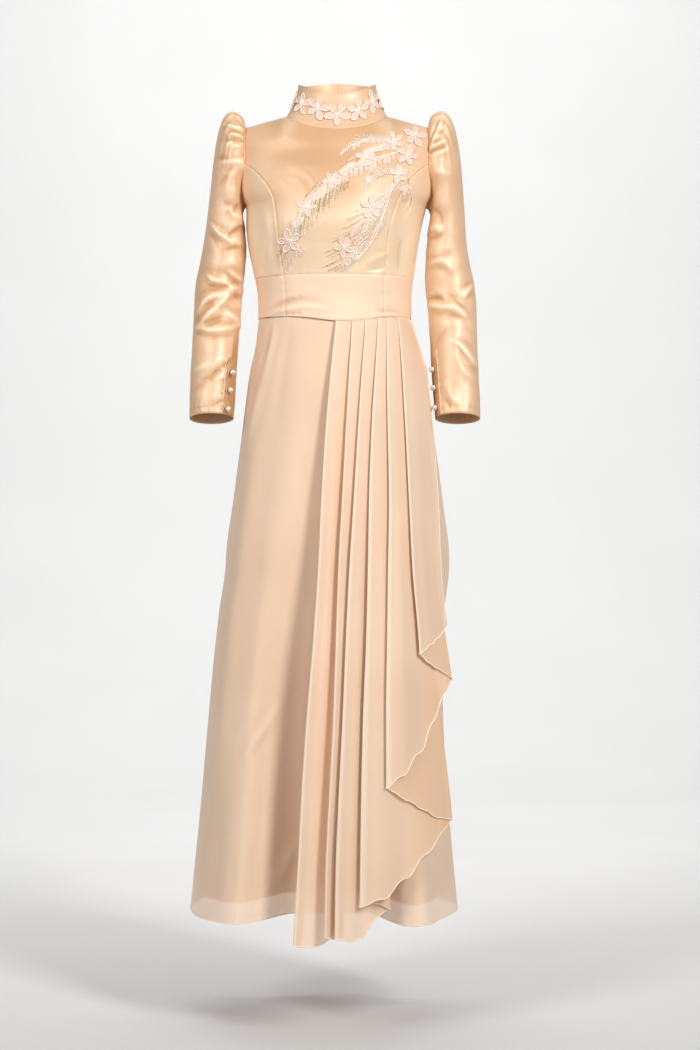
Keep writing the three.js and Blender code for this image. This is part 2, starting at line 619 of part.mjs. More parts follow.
function overskirtDrape() {
  const layers = [];
  for (let k = 0; k <= PLEATS; k += 1) {
    if (k > 0) layers.push(['face', k, steps(k > 2 ? 4 : 2)]);
    if (k < PLEATS) layers.push(['under', k, steps(k > 2 ? 2 : 1).reverse()]);
  }
  const column = (kind, k, share) => {
    const hem = cascadeHem(kind, k, share);
    return DRAPE_ROWS.map((v) => {
      const place = drapePoint(kind, k, share, BAND_BOTTOM);
      const angle = Math.asin(Math.min(1, Math.max(-1, (place.x - WAIST.middle) / WAIST.half))) / RAD;
      return drapePoint(kind, k, share, mix(bandBottom(angle) - SEAM, hem, v));
    });
  };
  const columns = [];
  layers.forEach(([kind, k, shares], n) => {
    shares.forEach((share) => columns.push(column(kind, k, share)));
    if (n === layers.length - 1) return;
    const [nextKind, nextK, nextShares] = layers[n + 1];
    const before = columns[columns.length - 1];
    const after = column(nextKind, nextK, nextShares[0]);
    const outward = kind === 'face' ? 1 : -1; // which way the fold turns
    columns.push(
      before.map((point, j) => {
        const middle = point.clone().add(after[j]).multiplyScalar(0.5);
        return middle.setX(middle.x + (outward * profile(OVERSKIRT, 'turn', middle.z)) / 2);
      }),
    );
  });
  const normals = columns.map((points, i) =>
    points.map((point, j) => {
      const across = columns[Math.min(i + 1, columns.length - 1)][j]
        .clone()
        .sub(columns[Math.max(i - 1, 0)][j]);
      const down = points[Math.min(j + 1, points.length - 1)].clone().sub(points[Math.max(j - 1, 0)]);
      return down.cross(across).normalize();
    }),
  );
  const offset = (amount) =>
    columns.map((points, i) => points.map((p, j) => p.clone().addScaledVector(normals[i][j], amount)));
  return wall('overskirt_drape', offset(CHIFFON / 2), offset(-CHIFFON / 2), chiffonOf());
}

// ---------------------------------------------------------------- sleeves
const firstRing = SLEEVE[0];
const SLEEVE_LENGTH = SLEEVE[SLEEVE.length - 1].s;
const HEAD_RUN = 90; // length over which the sleeve leaves the armhole's curve
const LEAN = { '-1': 5, 1: -3 }; // how much further out each forearm hangs than the mean

// Distance from a point to a segment, all in (degrees scaled to mm, mm).
function toSegment(px, py, ax, ay, bx, by) {
  const [dx, dy] = [bx - ax, by - ay];
  const t = Math.min(1, Math.max(0, ((px - ax) * dx + (py - ay) * dy) / (dx * dx + dy * dy)));
  return Math.hypot(px - ax - t * dx, py - ay - t * dy);
}
const ARC = 0.72; // mm of sleeve for each degree round it

function sleeveFolds(side, turn, s) {
  let height = 0;
  SLEEVE_FOLDS.filter((fold) => fold.side === side).forEach((fold) => {
    const away = toSegment(turn * ARC, s, fold.angle1 * ARC, fold.s1, fold.angle2 * ARC, fold.s2);
    height += fold.height * Math.exp(-((away / fold.width) ** 2));
  });
  return height;
}

// A point of the sleeve: turn 0 is the top (outer) line, 90 the front, 180 the underarm line.
function sleevePoint(side, turn, s) {
  const at = (key) => profile(SLEEVE, key, s);
  const [cosine, sine] = [Math.cos(turn * RAD), Math.sin(turn * RAD)];
  const lean = LEAN[side] * smooth(110, 320, s);
  const [middleX, middleZ] = [mix(at('outX'), at('inX'), 0.5), mix(at('outZ'), at('inZ'), 0.5)];
  const centre = new THREE.Vector3(middleX + lean, 0, middleZ);
  const arm = new THREE.Vector3((at('outX') - at('inX')) / 2, 0, (at('outZ') - at('inZ')) / 2);
  const middle = (at('back') - at('front')) / 2;
  const depth = (at('back') + at('front')) / 2;
  const spread = new THREE.Vector3(0, middle - depth * sine, Math.tan(at('tilt') * RAD) * depth * sine);
  const point = centre.addScaledVector(arm, cosine).add(spread);
  const height = armholeHeight(turn);
  const angle = armholeAngle(height);
  const seam = torso.point(side * (sine >= 0 ? angle : 180 - angle), height);
  seam.x = side * seam.x + SEAM;
  const blend = (1 - smooth(0, HEAD_RUN, s)) ** 1.5;
  const shape = new THREE.Vector3(
    seam.x - firstRing.inX,
    seam.y - (firstRing.back - firstRing.front - (firstRing.back + firstRing.front) * sine) / 2,
    seam.z - height,
  );
  point.addScaledVector(shape, blend);
  const fromTop = turn > 180 ? 360 - turn : turn;
  const wave = fromTop < GATHER_ARC ? -Math.cos((fromTop / GATHER_ARC) * GATHERS * 2 * Math.PI) : 0;
  const raise = at('gather') * (wave + 0.35) + sleeveFolds(side, turn, s) * smooth(0, 40, s);
  const radial = new THREE.Vector3(cosine * arm.x, -depth * sine, cosine * arm.z).normalize();
  point.addScaledVector(radial, raise);
  point.x *= side;
  return point;
}

const SLEEVE_TURNS = [...FRONT_TURN, ...FRONT_TURN.slice(1, -1).reverse().map((turn) => 360 - turn)];

function sleeveNormal(side, turn, s) {
  const across = sleevePoint(side, turn + 2, s).sub(sleevePoint(side, turn - 2, s));
  const [above, below] = [Math.max(0, s - 4), Math.min(SLEEVE_LENGTH, s + 4)];
  const down = sleevePoint(side, turn, below).sub(sleevePoint(side, turn, above));
  return down.cross(across).multiplyScalar(-side).normalize();
}

function sleeve(side, name) {
  const outer = SLEEVE_TURNS.map((turn) => SLEEVE.map(({ s }) => sleevePoint(side, turn, s)));
  const inner = outer.map((column, i) =>
    column.map((point, j) =>
      point.clone().addScaledVector(sleeveNormal(side, SLEEVE_TURNS[i], SLEEVE[j].s), -SATIN),
    ),
  );
  return wall(name, outer, inner, satinOf(), true);
}

function placket(side, name) {
  const pearls = PEARLS.filter((pearl) => pearl.side === side);
  const layer = (lift) =>
    steps(2).map((u) =>
      steps(6).map((v) => {
        const s = mix(PLACKET.from, PLACKET.to, v);
        const centre = mix(pearls[0].angle, pearls[2].angle, v);
        const turn = centre + mix(-PLACKET.halfAngle, PLACKET.halfAngle, u);
        return sleevePoint(side, turn, s).addScaledVector(sleeveNormal(side, turn, s), lift);
      }),
    );
  return wall(name, layer(APPLIQUE_LIFT + CHIFFON), layer(APPLIQUE_LIFT), satinOf());
}

function pearl({ side, number, s, angle }) {
  const lift = APPLIQUE_LIFT + CHIFFON + SEAM + PEARL_RADIUS;
  const mesh = new THREE.Mesh(new THREE.SphereGeometry(PEARL_RADIUS, 8, 6), pearlOf());
  mesh.name = `cuff_pearl_${side > 0 ? 'left' : 'right'}_${number}`;
  mesh.position.copy(sleevePoint(side, angle, s).addScaledVector(sleeveNormal(side, angle, s), lift));
  return mesh;
}

// ---------------------------------------------------------------- applique
const RIM = 10; // points round a flower, tip and hollow by turns

// A five-petal flower laid on a surface; spot maps flat (right, up) offsets to [point, normal].
function flower(name, spot, radius, turn) {
  const ring = (share, lift) =>
    steps(RIM).slice(1).map((t, i) => {
      const reach = radius * share * (i % 2 ? 1 : 0.5);
      const angle = t * 2 * Math.PI + turn * RAD;
      const [point, normal] = spot(reach * Math.cos(angle), reach * Math.sin(angle));
      return point.addScaledVector(normal, lift);
    });
  const centre = (lift) => {
    const [point, normal] = spot(0, 0);
    return point.addScaledVector(normal, lift);
  };
  const low = APPLIQUE_LIFT;
  const high = APPLIQUE_LIFT + APPLIQUE;
  const vertices = [centre(high), ...ring(0.5, high + 0.3), ...ring(1, high), centre(low)];
  vertices.push(...ring(0.5, low), ...ring(1, low));
  const half = 2 * RIM + 1;
  const index = [];
  for (let i = 0; i < RIM; i += 1) {
    const next = (i + 1) % RIM;
    const [a, b, c, d] = [1 + i, 1 + next, 1 + RIM + next, 1 + RIM + i];
    index.push(0, a, b, a, d, c, a, c, b);
    index.push(half, half + b, half + a, half + a, half + c, half + d, half + a, half + b, half + c);
    index.push(d, half + d, half + c, d, half + c, c);
  }
  return solid(name, vertices, index, appliqueOf());
}

// Offsets on the front of the bodice: right and up from a place in the front view.
const onBodice = (x0, z0) => (right, up) => {
  const z = z0 + up;
  const sine = (x0 + right - profile(TORSO, 'middle', z)) / profile(TORSO, 'half', z);
  const angle = Math.asin(sine) / RAD;
  return [torso.point(angle, z), torso.normal(angle, z)];
};
const onCollar = (angle, height) => (right, up) => {
  const spot = [angle + right / COLLAR_RADIUS / RAD, height + up / COLLAR_HEIGHT];
  return [collar.point(...spot), collar.normal(...spot)];
};

function spray({ x1, z1, x2, z2, bow, width }, i) {
  const spine = new THREE.QuadraticBezierCurve(
    new THREE.Vector2(x1, z1),
    new THREE.Vector2((x1 + x2) / 2 + bow, (z1 + z2) / 2 + bow),
    new THREE.Vector2(x2, z2),
  );
  const layer = (lift) =>
    [-0.5, 0, 0.5].map((u) =>
      steps(4).map((t) => {
        const side = spine.getTangent(t).rotateAround(new THREE.Vector2(), Math.PI / 2);
        const half = u * width * (0.25 + 0.75 * Math.sin(Math.PI * t));
        const place = spine.getPoint(t).addScaledVector(side, half);
        const [point, normal] = onBodice(place.x, place.y)(0, 0);
        return point.addScaledVector(normal, lift);
      }),
    );
  return wall(`bodice_spray_${i + 1}`, layer(APPLIQUE_LIFT + APPLIQUE), layer(APPLIQUE_LIFT), appliqueOf());
}

// ---------------------------------------------------------------- assembly
const gown = new THREE.Group();
const seamAngle = princessAngle(BAND_TOP);
gown.add(
  collarStrip(),
  bodiceFrontCenter(),
  bodiceSideFront(1, 'bodice_side_front_left'),
  bodiceSideFront(-1, 'bodice_side_front_right'),
  bodiceBack(1, 'bodice_back_left'),
  bodiceBack(-1, 'bodice_back_right'),
  waistband('waistband_front', -seamAngle, seamAngle, 10),
  waistband('waistband_side_left', seamAngle, 90, 6),
  waistband('waistband_side_right', -90, -seamAngle, 6),
  waistband('waistband_back_left', 90, 180, 6),
  waistband('waistband_back_right', -180, -90, 6),
  skirtPanel('skirt_front', -90, 90),
  skirtPanel('skirt_back_left', 90, 180),
  skirtPanel('skirt_back_right', -180, -90),
  skirtLining(),
  overskirtDrape(),
);
[[1, 'left'], [-1, 'right']].forEach(([side, word]) => {
  gown.add(sleeve(side, `sleeve_${word}`), placket(side, `cuff_placket_${word}`));
});
PEARLS.forEach((entry) => gown.add(pearl(entry)));
COLLAR_FLOWERS.forEach(({ angle, height, radius, turn }, i) => {
  gown.add(flower(`collar_flower_${i + 1}`, onCollar(angle, height), radius, turn));
});
BODICE_FLOWERS.forEach(({ x, z, radius, turn }, i) => {
  gown.add(flower(`bodice_flower_${i + 1}`, onBodice(x, z), radius, turn));
});
SPRAYS.forEach((entry, i) => gown.add(spray(entry, i)));

export default gown;
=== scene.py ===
import math

import bpy
import numpy as np
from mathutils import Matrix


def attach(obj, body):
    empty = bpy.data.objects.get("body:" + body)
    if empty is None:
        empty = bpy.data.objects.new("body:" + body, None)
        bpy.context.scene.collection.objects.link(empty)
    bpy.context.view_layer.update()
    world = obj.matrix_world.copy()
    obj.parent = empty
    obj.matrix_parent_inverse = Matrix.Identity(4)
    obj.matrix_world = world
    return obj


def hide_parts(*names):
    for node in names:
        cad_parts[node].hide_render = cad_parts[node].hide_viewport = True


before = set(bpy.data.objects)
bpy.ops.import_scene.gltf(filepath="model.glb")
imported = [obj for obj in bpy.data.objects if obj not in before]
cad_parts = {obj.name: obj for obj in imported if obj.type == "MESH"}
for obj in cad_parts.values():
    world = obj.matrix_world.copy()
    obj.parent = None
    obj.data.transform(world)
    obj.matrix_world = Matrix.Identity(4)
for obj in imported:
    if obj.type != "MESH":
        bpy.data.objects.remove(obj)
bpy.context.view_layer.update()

MM = 0.001
RAD = math.pi / 180

# ---------------------------------------------------------------- driving dimensions (mm)
SEAM = 0.3
NECK_HALF, NECK_DROP_FRONT, NECK_DROP_BACK, NAPE_RISE = 86, 32, 14, 20
SHOULDER_DROP, SHOULDER_RUN = 17, 68
ARMHOLE_MIDDLE, ARMHOLE_HALF = -85, 68
UNDERARM = ARMHOLE_MIDDLE - ARMHOLE_HALF
BAND_TOP, BAND_BOTTOM = -275, -343
DIP_DEPTH, DIP_AT, DIP_SPREAD = 11, 8, 28
HEM, LINING_HEM, LINING_INSET = -1340, -1306, 6
OVERSKIRT_RETURN, PLEATS = 16, 6
GATHERS, GATHER_ARC = 4, 75
SLEEVE_LENGTH = 568
PEARL_RADIUS = 5
FLOOR_Z = -1520
COLLAR_HALF, COLLAR_FRONT, COLLAR_BACK = 66, 62, 60
COLLAR_TOP_SIDE, COLLAR_TOP_FRONT, COLLAR_TOP_BACK = 55, 29, 69
SLEEVE_LEAN = {-1: 5, 1: -3}
SATIN_WALL, COLLAR_WALL, PLACKET_WALL = 0.9, 1.3, 0.8
CUFF_STITCHES = 556

# Cloth in a degree of the skirt and of a sleeve; the collar's mean radius and height, for its flowers.
SKIRT_ARC, SLEEVE_ARC = 2.2, 0.72
COLLAR_RADIUS, COLLAR_RISE = 72, 62
# The even grid on which the bodice front is kept for the embroidery.
MAP_X, MAP_Z, MAP_COLUMNS, MAP_ROWS = (-152, 152), (-277, -15), 204, 176
BLUR_PASSES = 8
SKEW = (0.31, -0.87, 0.38)  # a direction that no thread follows, to set out a tube's rings



def table(names, *rows):
    """Named columns, sorted by the first one."""
    rows = sorted(rows)
    return {name: np.array([row[i] for row in rows], float) for i, name in enumerate(names.split())}


def records(names, *rows):
    """A list of rows, each a dict with the given names."""
    return [dict(zip(names.split(), row)) for row in rows]


TORSO = table(
    "z middle half front back",
    (25, 0, 172, 92, 98),
    (-60, 0, 171, 95, 100),
    (-100, 0, 169, 108, 104),
    (-134, 0, 163, 115, 104),
    (-153, -1, 153, 119, 103),
    (-190, -5, 148, 124, 98),
    (-225, -6, 143, 114, 92),
    (-275, -4.5, 134.5, 99, 88),
    (-310, -4, 130, 97, 88),
    (-356, -3.5, 131, 99, 91),
)
ARMHOLE = table(
    "z angle", (25, 64), (-17, 64.2), (-45, 65), (-85, 65.2), (-110, 71), (-138, 81), (-153, 90)
)
PRINCESS = table(
    "z half",
    (-85, 154.3),
    (-96, 141),
    (-112, 126),
    (-130, 113),
    (-156, 102),
    (-190, 95),
    (-239, 88),
    (-275, 85),
    (-356, 85),
)
SKIRT = table(
    "z middle half front back flute",
    (-343, -3.5, 129.5, 94, 88, 0),
    (-395, 1.5, 141, 102, 101, 0),
    (-430, 2.5, 150, 108, 110, 0.01),
    (-520, 1.5, 161, 118, 124, 0.04),
    (-650, 2, 178, 131, 138, 0.11),
    (-752, 2, 190, 141, 148, 0.19),
    (-850, -9, 191, 146, 157, 0.27),
    (-947, -15, 195, 154, 165, 0.38),
    (-1114, -19.5, 205, 174, 180, 0.62),
    (-1340, -21, 226.5, 200, 196, 1),
)
FLUTES = table(
    "angle push rise",
    (-90, 10, 0),
    (-60, -35, 0),
    (-40, -30, 0),
    (-28, 6, 3),
    (-12, 74, 8),
    (5, 80, 9),
    (20, 62, 8),
    (28, 20, 2),
    (37, -32, -2),
    (48, -58, 0),
    (60, -27, 0),
    (90, 15, 0),
    (112, -14, 0),
    (132, 26, 3),
    (152, -24, 0),
    (172, 22, 3),
    (192, -22, 0),
    (212, 26, 3),
    (234, -20, 0),
    (254, 16, 2),
    (270, 10, 0),
)
OVERSKIRT = table(
    "z middle half front fold turn step",
    (-340, -3.5, 131.5, 95.6, 0.9, 1.8, 0.1),
    (-380, -1, 141, 103, 1.8, 2, 0.5),
    (-430, 3, 156, 111, 2.8, 2.2, 0.9),
    (-520, 3, 169, 122, 4, 2.6, 1.4),
    (-650, 3, 184, 137, 5.5, 3, 2),
    (-752, 3, 198, 149, 7, 3.4, 2.6),
    (-947, 0, 215, 170, 9, 4, 3.4),
    (-1185, -5, 235, 197, 11, 4.4, 4),
    (-1375, -5, 250, 214, 12, 4.6, 4.4),
)
FOLDS = table(
    "z left1 left2 left3 left4 left5 left6 right1 right2 right3 right4 right5 right6",
    (-340, 0, 26, 48, 69, 83, 102, 40, 61, 82, 96, 115, 121),
    (-380, -4, 24, 46, 67, 83, 105, 38, 60, 82, 102, 121, 137),
    (-430, -9, 21, 42, 64, 83, 108, 35, 57, 82, 108, 127, 150),
    (-520, -17, 16, 36, 58, 84, 113, 30, 51, 83, 119, 138, 162),
    (-650, -25, 9, 28, 53, 86, 119, 23, 43, 84, 132, 151, 171),
    (-760, -30, 3, 21, 51, 84, 124, 17, 37, 84, 144, 162, 175),
    (-880, -38, -1, 15, 48, 82, 134, 13, 31, 85, 157, 181, 187),
    (-1000, -48, -5, 10, 43, 80, 140, 8, 26, 85, 170, 199, 203),
    (-1120, -56, -11, 4, 40, 80, 146, 4, 20, 86, 185, 214, 218),
    (-1240, -62, -17, -1, 38, 80, 150, 0, 15, 87, 197, 226, 230),
    (-1375, -70, -19, -3, 36, 80, 154, -4, 10, 88, 210, 238, 242),
)
CASCADE = {  # hem height along each layer, from its outer fold to its hidden fold
    "under0": (-1366, -1367, -1367, -1366, -1364),
    "face1": (-1367, -1369, -1369, -1365, -1352),
    "under1": (-1350, -1350, -1350, -1351, -1352),
    "face2": (-1350, -1352, -1354, -1354, -1352),
    "under2": (-1352, -1352, -1352, -1352, -1352),
    "face3": (-1352, -1357, -1354, -1323, -1311),
    "under3": (-1302, -1300, -1298, -1303, -1311),
    "face4": (-1302, -1289, -1256, -1217, -1177),
    "under4": (-1115, -1133, -1149, -1168, -1177),
    "face5": (-1115, -1090, -1050, -991, -949),
    "under5": (-904, -917, -926, -934, -945),
    "face6": (-902, -893, -884, -874, -860),
}
SLEEVE = table(
    "s outX outZ inX inZ front back gather tilt",
    (0, 154.6, -17, 154.6, -153, 43, 46, 0, 0),
    (11, 157.5, -6, 156.5, -155, 47, 49, 1.5, 0),
    (24, 165, 4, 158, -158, 51, 52, 2.4, 0),
    (38, 178, 8, 159, -161, 54, 54, 2.4, 0),
    (52, 190, 0, 159.5, -165, 55, 55, 1.9, 0),
    (70, 198, -16, 159, -171, 54, 54, 1.2, 0),
    (98, 205, -44, 157, -182, 52, 53, 0.5, 0),
    (131, 210, -76, 155.5, -197, 50, 52, 0, 0),
    (163, 213, -108, 154, -215, 48, 52, 0, 0),
    (197, 216, -142, 153, -234, 46, 52, 0, 0),
    (230, 218.5, -175, 153, -252, 45, 52, 0, 0),
    (267, 222, -212, 153, -270, 44, 51, 0, 0),
    (303, 228, -248, 154, -289, 44, 49, 0, 1),
    (337, 235, -282, 156, -310, 45, 46, 0, 2),
    (370, 238, -315, 158, -333, 48, 42, 0, 4),
    (403, 239, -348, 160, -358, 52, 38, 0, 6),
    (439, 240, -384, 162, -386, 57, 33, 0, 7.5),
    (473, 242, -418, 163.5, -416, 62, 28, 0, 8.5),
    (505, 243, -450, 165.5, -446, 66, 24, 0, 9),
    (537, 244, -482, 167.5, -478, 70, 20, 0, 9),
    (568, 244, -513, 169.5, -512, 74, 17, 0, 9),
)
# Folds of the sleeves as seen from the front: x and z of each point in turn, half-width, height (mm).
RIGHT_FOLDS = (
    (-150, -30, -162, -15, -173, -4, 2.3, -4.2),
    (-147, -34, -159, -21, -171, -6, 2.3, 3.2),
    (-146, -36, -168, -27, -192, -17, 2.4, 3.6),
    (-146, -40, -163, -34, -182, -29, 2.3, -4.0),
    (-146, -45, -163, -38, -184, -36, 2.3, 3.8),
    (-146, -52, -165, -44, -186, -46, 2.8, -3.8),
    (-197, -47, -186, -36, 5, -1.6),
    (-199, -71, -182, -77, -155, -69, 7, -2.4),
    (-198, -83, -177, -80, -155, -80, 5, 2.6),
    (-197, -119, -182, -102, -173, -92, 7, -2.4),
    (-186, -117, -173, -101, -155, -86, 6, 1.4),
    (-186, -144, -179, -161, 8, -1.4),
    (-171, -163, -161, -152, -153, -154, 7, -3.4),
    (-181, -159, -173, -170, -161, -168, -149, -159, 3.5, 3.2),
    (-182, -208, -169, -198, -153, -186, 6, -4.0),
    (-179, -194, -167, -182, -152, -173, 6, 2.2),
    (-215, -182, -200, -200, -175, -218, 3, 2.2),
    (-215, -196, -200, -227, 4, -1.0),
    (-188, -233, -163, -224, 7, -2.6),
    (-217, -246, -186, -254, -155, -236, 9, 1.6),
    (-218, -270, -208, -280, -186, -285, -174, -293, 4.5, 3.4),
    (-217, -293, -200, -294, -182, -293, 7, -1.8),
    (-174, -293, -200, -303, -224, -319, -235, -337, 5, 3.8),
    (-206, -314, -222, -330, 5, -1.8),
    (-174, -294, -186, -310, -215, -337, -235, -361, 5, 3.4),
    (-181, -266, -158, -279, 3.5, 2.4),
    (-173, -310, -159, -303, 6, -3.0),
    (-182, -335, -169, -349, -166, -356, 4.5, 2.8),
    (-166, -355, -186, -362, -209, -364, -232, -361, 4.5, 3.0),
    (-190, -343, -213, -355, 6, -1.8),
    (-206, -413, -223, -424, -241, -435, 8, 1.8),
    (-200, -434, -217, -449, -240, -467, 7, -2.0),
    (-173, -413, -190, -428, -206, -442, -209, -451, 4, -2.2),
    (-176, -421, -186, -432, -200, -449, 4, 1.6),
    (-189, -486, -202, -492, -208, -507, 4, -2.0),
    (-192, -494, -200, -505, 3, 1.2),
)
LEFT_FOLDS = (
    (151, -66, 161, -37, 173, -9, 2.3, -4.2),
    (155, -66, 164, -38, 176, -11, 2.3, 3.6),
    (148, -66, 163, -57, 183, -47, 2.4, 4.0),
    (148, -71, 165, -62, 185, -56, 2.4, -3.8),
    (184, -64, 182, -84, 184, -102, 6, -1.6),
    (150, -102, 172, -98, 194, -105, 7, 1.6),
    (149, -160, 161, -162, 173, -171, 179, -191, 7, -3.6),
    (147, -149, 153, -160, 151, -167, 3, 2.4),
    (153, -211, 168, -209, 181, -202, 7, -3.2),
    (153, -191, 164, -189, 172, -197, 4, 2.2),
    (153, -250, 175, -247, 195, -264, 5, 2.8),
    (161, -233, 190, -229, 8, 1.4),
    (159, -319, 173, -324, 194, -326, 215, -339, 5, 3.2),
    (157, -308, 175, -311, 4, -2.0),
    (177, -302, 197, -320, 215, -342, 228, -360, 5, 1.8),
    (190, -306, 212, -328, 5, -1.6),
    (214, -308, 221, -295, 228, -287, 3, 2.4),
    (166, -390, 179, -370, 197, -360, 6, -1.8),
    (195, -381, 215, -402, 234, -424, 4.5, 2.6),
    (202, -390, 210, -404, 222, -417, 3.5, -2.0),
    (194, -397, 212, -433, 230, -448, 5, 1.4),
    (181, -455, 192, -473, 204, -499, 5, 1.8),
    (181, -481, 194, -503, 4, -1.6),
    (215, -444, 214, -488, 7, -1.0),
)
# Folds of the sleeves' backs, by place as seen from behind: |x|, z.
SLEEVE_BACK_FOLDS = (
    (156, -34, 172, -22, 190, -16, 3.5, 2.6),
    (156, -44, 170, -38, 186, -36, 3.5, -2.4),
    (156, -62, 172, -64, 190, -70, 5, 2.2),
    (150, -110, 176, -96, 200, -104, 7, -2.2),
    (152, -172, 170, -176, 186, -196, 6, -3.2),
    (152, -186, 176, -204, 204, -210, 5, 2.8),
    (156, -262, 180, -276, 214, -270, 6, 2.2),
    (160, -296, 186, -300, 226, -318, 5, 3.2),
    (164, -318, 190, -326, 228, -352, 5, 2.8),
    (170, -352, 200, -346, 232, -372, 5, -2.2),
    (172, -412, 204, -424, 238, -420, 8, 1.8),
    (176, -452, 206, -470, 238, -466, 8, -1.6),
)
# Folds of the bodice and band, by place in the front view and in the view from behind,
# where |x| stands for both sides.
TORSO_FOLDS = (
    (47, -259, 66, -249, 83, -241, 4.5, 2.4),
    (52, -270, 66, -266, 80, -262, 4, -1.6),
    (30, -270, 50, -264, 4, 1.0),
    (-51, -110, -45, -120, -36, -134, 3, 1.4),
    (-57, -113, -51, -125, -43, -137, 3.5, -1.2),
    (-92, -122, -76, -128, -58, -138, 3, -1.1),
    (-90, -116, -74, -121, -56, -131, 4, 0.8),
    (-127, -347, -92, -334, -61, -328, -20, -331, 4.5, 3.0),
    (-112, -341, -86, -340, -58, -340, 3, -2.0),
    (-30, -346, 0, -350, 26, -350, 4, 1.2),
    (62, -342, 86, -341, 112, -345, 4.5, 2.2),
    (70, -335, 92, -334, 116, -337, 4, -1.0),
    (-121, -168, -116, -190, -112, -214, 6, 1.8),
    (-108, -176, -105, -206, -103, -240, 6, -1.6),
    (-118, -262, -114, -244, -111, -226, 4, 1.4),
    (-97, -268, -99, -250, -98, -236, 4, -1.2),
    (130, -150, 126, -168, 118, -190, 6, 1.8),
    (122, -214, 118, -238, 114, -262, 5, 2.0),
    (106, -216, 104, -242, 103, -266, 5, -1.6),
    (108, -140, 113, -160, 110, -178, 7, -1.4),
    (-20, -66, 10, -74, 40, -70, 14, -0.8),
    (-110, -70, -96, -92, -88, -112, 12, -0.9),
)
TORSO_BACK_FOLDS = (
    (14, -255, 46, -244, 76, -250, 6, 2.0),
    (20, -238, 54, -228, 84, -236, 7, -1.6),
    (30, -150, 60, -160, 96, -148, 12, -1.4),
    (92, -120, 110, -150, 118, -190, 9, 1.4),
    (60, -336, 90, -333, 122, -341, 5, 2.0),
    (12, -337, 34, -334, 58, -338, 5, 1.4),
)
# Creases of the skirt: from (angle, z) to (angle, z), half-width in mm and height.
SKIRT_CREASES = records(
    "angle1 z1 angle2 z2 width height",
    (-50, -346, -55, -440, 7, 2.4),
    (-55, -440, -68, -560, 10, 2.6),
    (-36, -350, -40, -520, 9, -1.4),
    (-22, -400, -30, -760, 18, 2.2),
    (-40, -1068, -23, -989, 6, 2.6),
    (-46, -1050, -30, -1000, 8, -1.6),
    (-20, -1275, -11, -1208, 6, 2.6),
    (-62, -760, -58, -1180, 22, 3.0),
    (-14, -620, -20, -1150, 20, -2.4),
    (120, -350, 125, -520, 9, 2.4),
    (150, -352, 158, -600, 12, 2.0),
    (-130, -350, -134, -540, 9, 2.4),
    (-162, -352, -168, -620, 12, 2.0),
    (140, -900, 144, -1250, 24, 3.0),
    (-146, -880, -142, -1240, 24, 3.0),
)
# Soft ridges that run down the faces of the overskirt: place across the face, width, height top and hem.
FACE_RIDGES = records(
    "face share width top hem",
    (1, 0.42, 0.13, 0.5, 3.0),
    (1, 0.74, 0.10, -0.3, -2.2),
    (2, 0.40, 0.16, 0.2, 1.4),
    (3, 0.30, 0.10, 0.3, 2.4),
    (3, 0.52, 0.10, -0.3, -1.6),
    (4, 0.22, 0.08, 0.3, 2.6),
    (4, 0.42, 0.09, -0.2, -2.0),
    (5, 0.24, 0.09, 0.3, 2.4),
    (6, 0.36, 0.14, 0.4, 2.4),
)
COLLAR_FLOWERS = records(
    "angle height radius turn",
    (-83, 0.52, 18.5, 0),
    (-55, 0.5, 19, 20),
    (-27, 0.52, 19.5, 8),
    (1, 0.42, 20, 54),
    (30, 0.46, 19.5, 12),
    (57, 0.56, 19, 26),
    (84, 0.52, 18.5, 4),
)
BODICE_FLOWERS = records(
    "x z radius turn",
    (130, -40, 17, 10),
    (96, -51, 14, 40),
    (117, -75, 16, 0),
    (103, -108, 14, 25),
    (46, -84, 14, 15),
    (-8, -123, 13, 50),
    (-50, -168, 14, 5),
    (-78, -221, 18, 30),
    (58, -166, 18.5, 18),
    (12, -232, 15, 44),
)
ROSETTES = (  # x, z, radius and turn of the small five-lobed flowers
    (57, -71, 9, 20),
    (113, -133, 10, 40),
    (-62, -238, 10, 10),
    (-26, -142, 9, 50),
    (34, -243, 10, 0),
    (52, -120, 7, 30),
    (84, -60, 8, 10),
    (-72, -194, 8, 60),
)
SPRAYS = records(
    "x1 z1 x2 z2 bow width",
    (80, -60, 61, -72, 3, 8),
    (30, -92, 4, -112, 5, 9),
    (-19, -135, -40, -156, 4, 9),
    (-57, -184, -69, -202, 3, 8),
    (96, -124, 75, -147, -5, 9),
    (44, -188, 23, -217, -6, 9),
)
PEARLS = records(
    "side number s angle",
    (-1, 1, 499, 136),
    (-1, 2, 530, 135),
    (-1, 3, 560, 131),
    (1, 1, 492, 153),
    (1, 2, 524, 152),
    (1, 3, 556, 149),
)
PLACKET_FROM, PLACKET_TO, PLACKET_HALF_ANGLE = 470, 566.5, 9


# ---------------------------------------------------------------- numbers
def mix(a, b, t):
    return a + (b - a) * t


def smooth(start, end, value):
    t = np.clip((np.asarray(value, float) - start) / (end - start), 0, 1)
    return t * t * (3 - 2 * t)


def bell(value, width):
    return np.exp(-((value / width) ** 2))


def unit(vectors):
    return vectors / np.maximum(np.linalg.norm(vectors, axis=-1, keepdims=True), 1e-9)


def lengths(points, axis):
    """Lengths along a grid or line of points from its start."""
    step = np.linalg.norm(np.diff(points, axis=axis), axis=-1)
    return np.concatenate([np.zeros_like(np.take(step, [0], axis)), np.cumsum(step, axis)], axis)


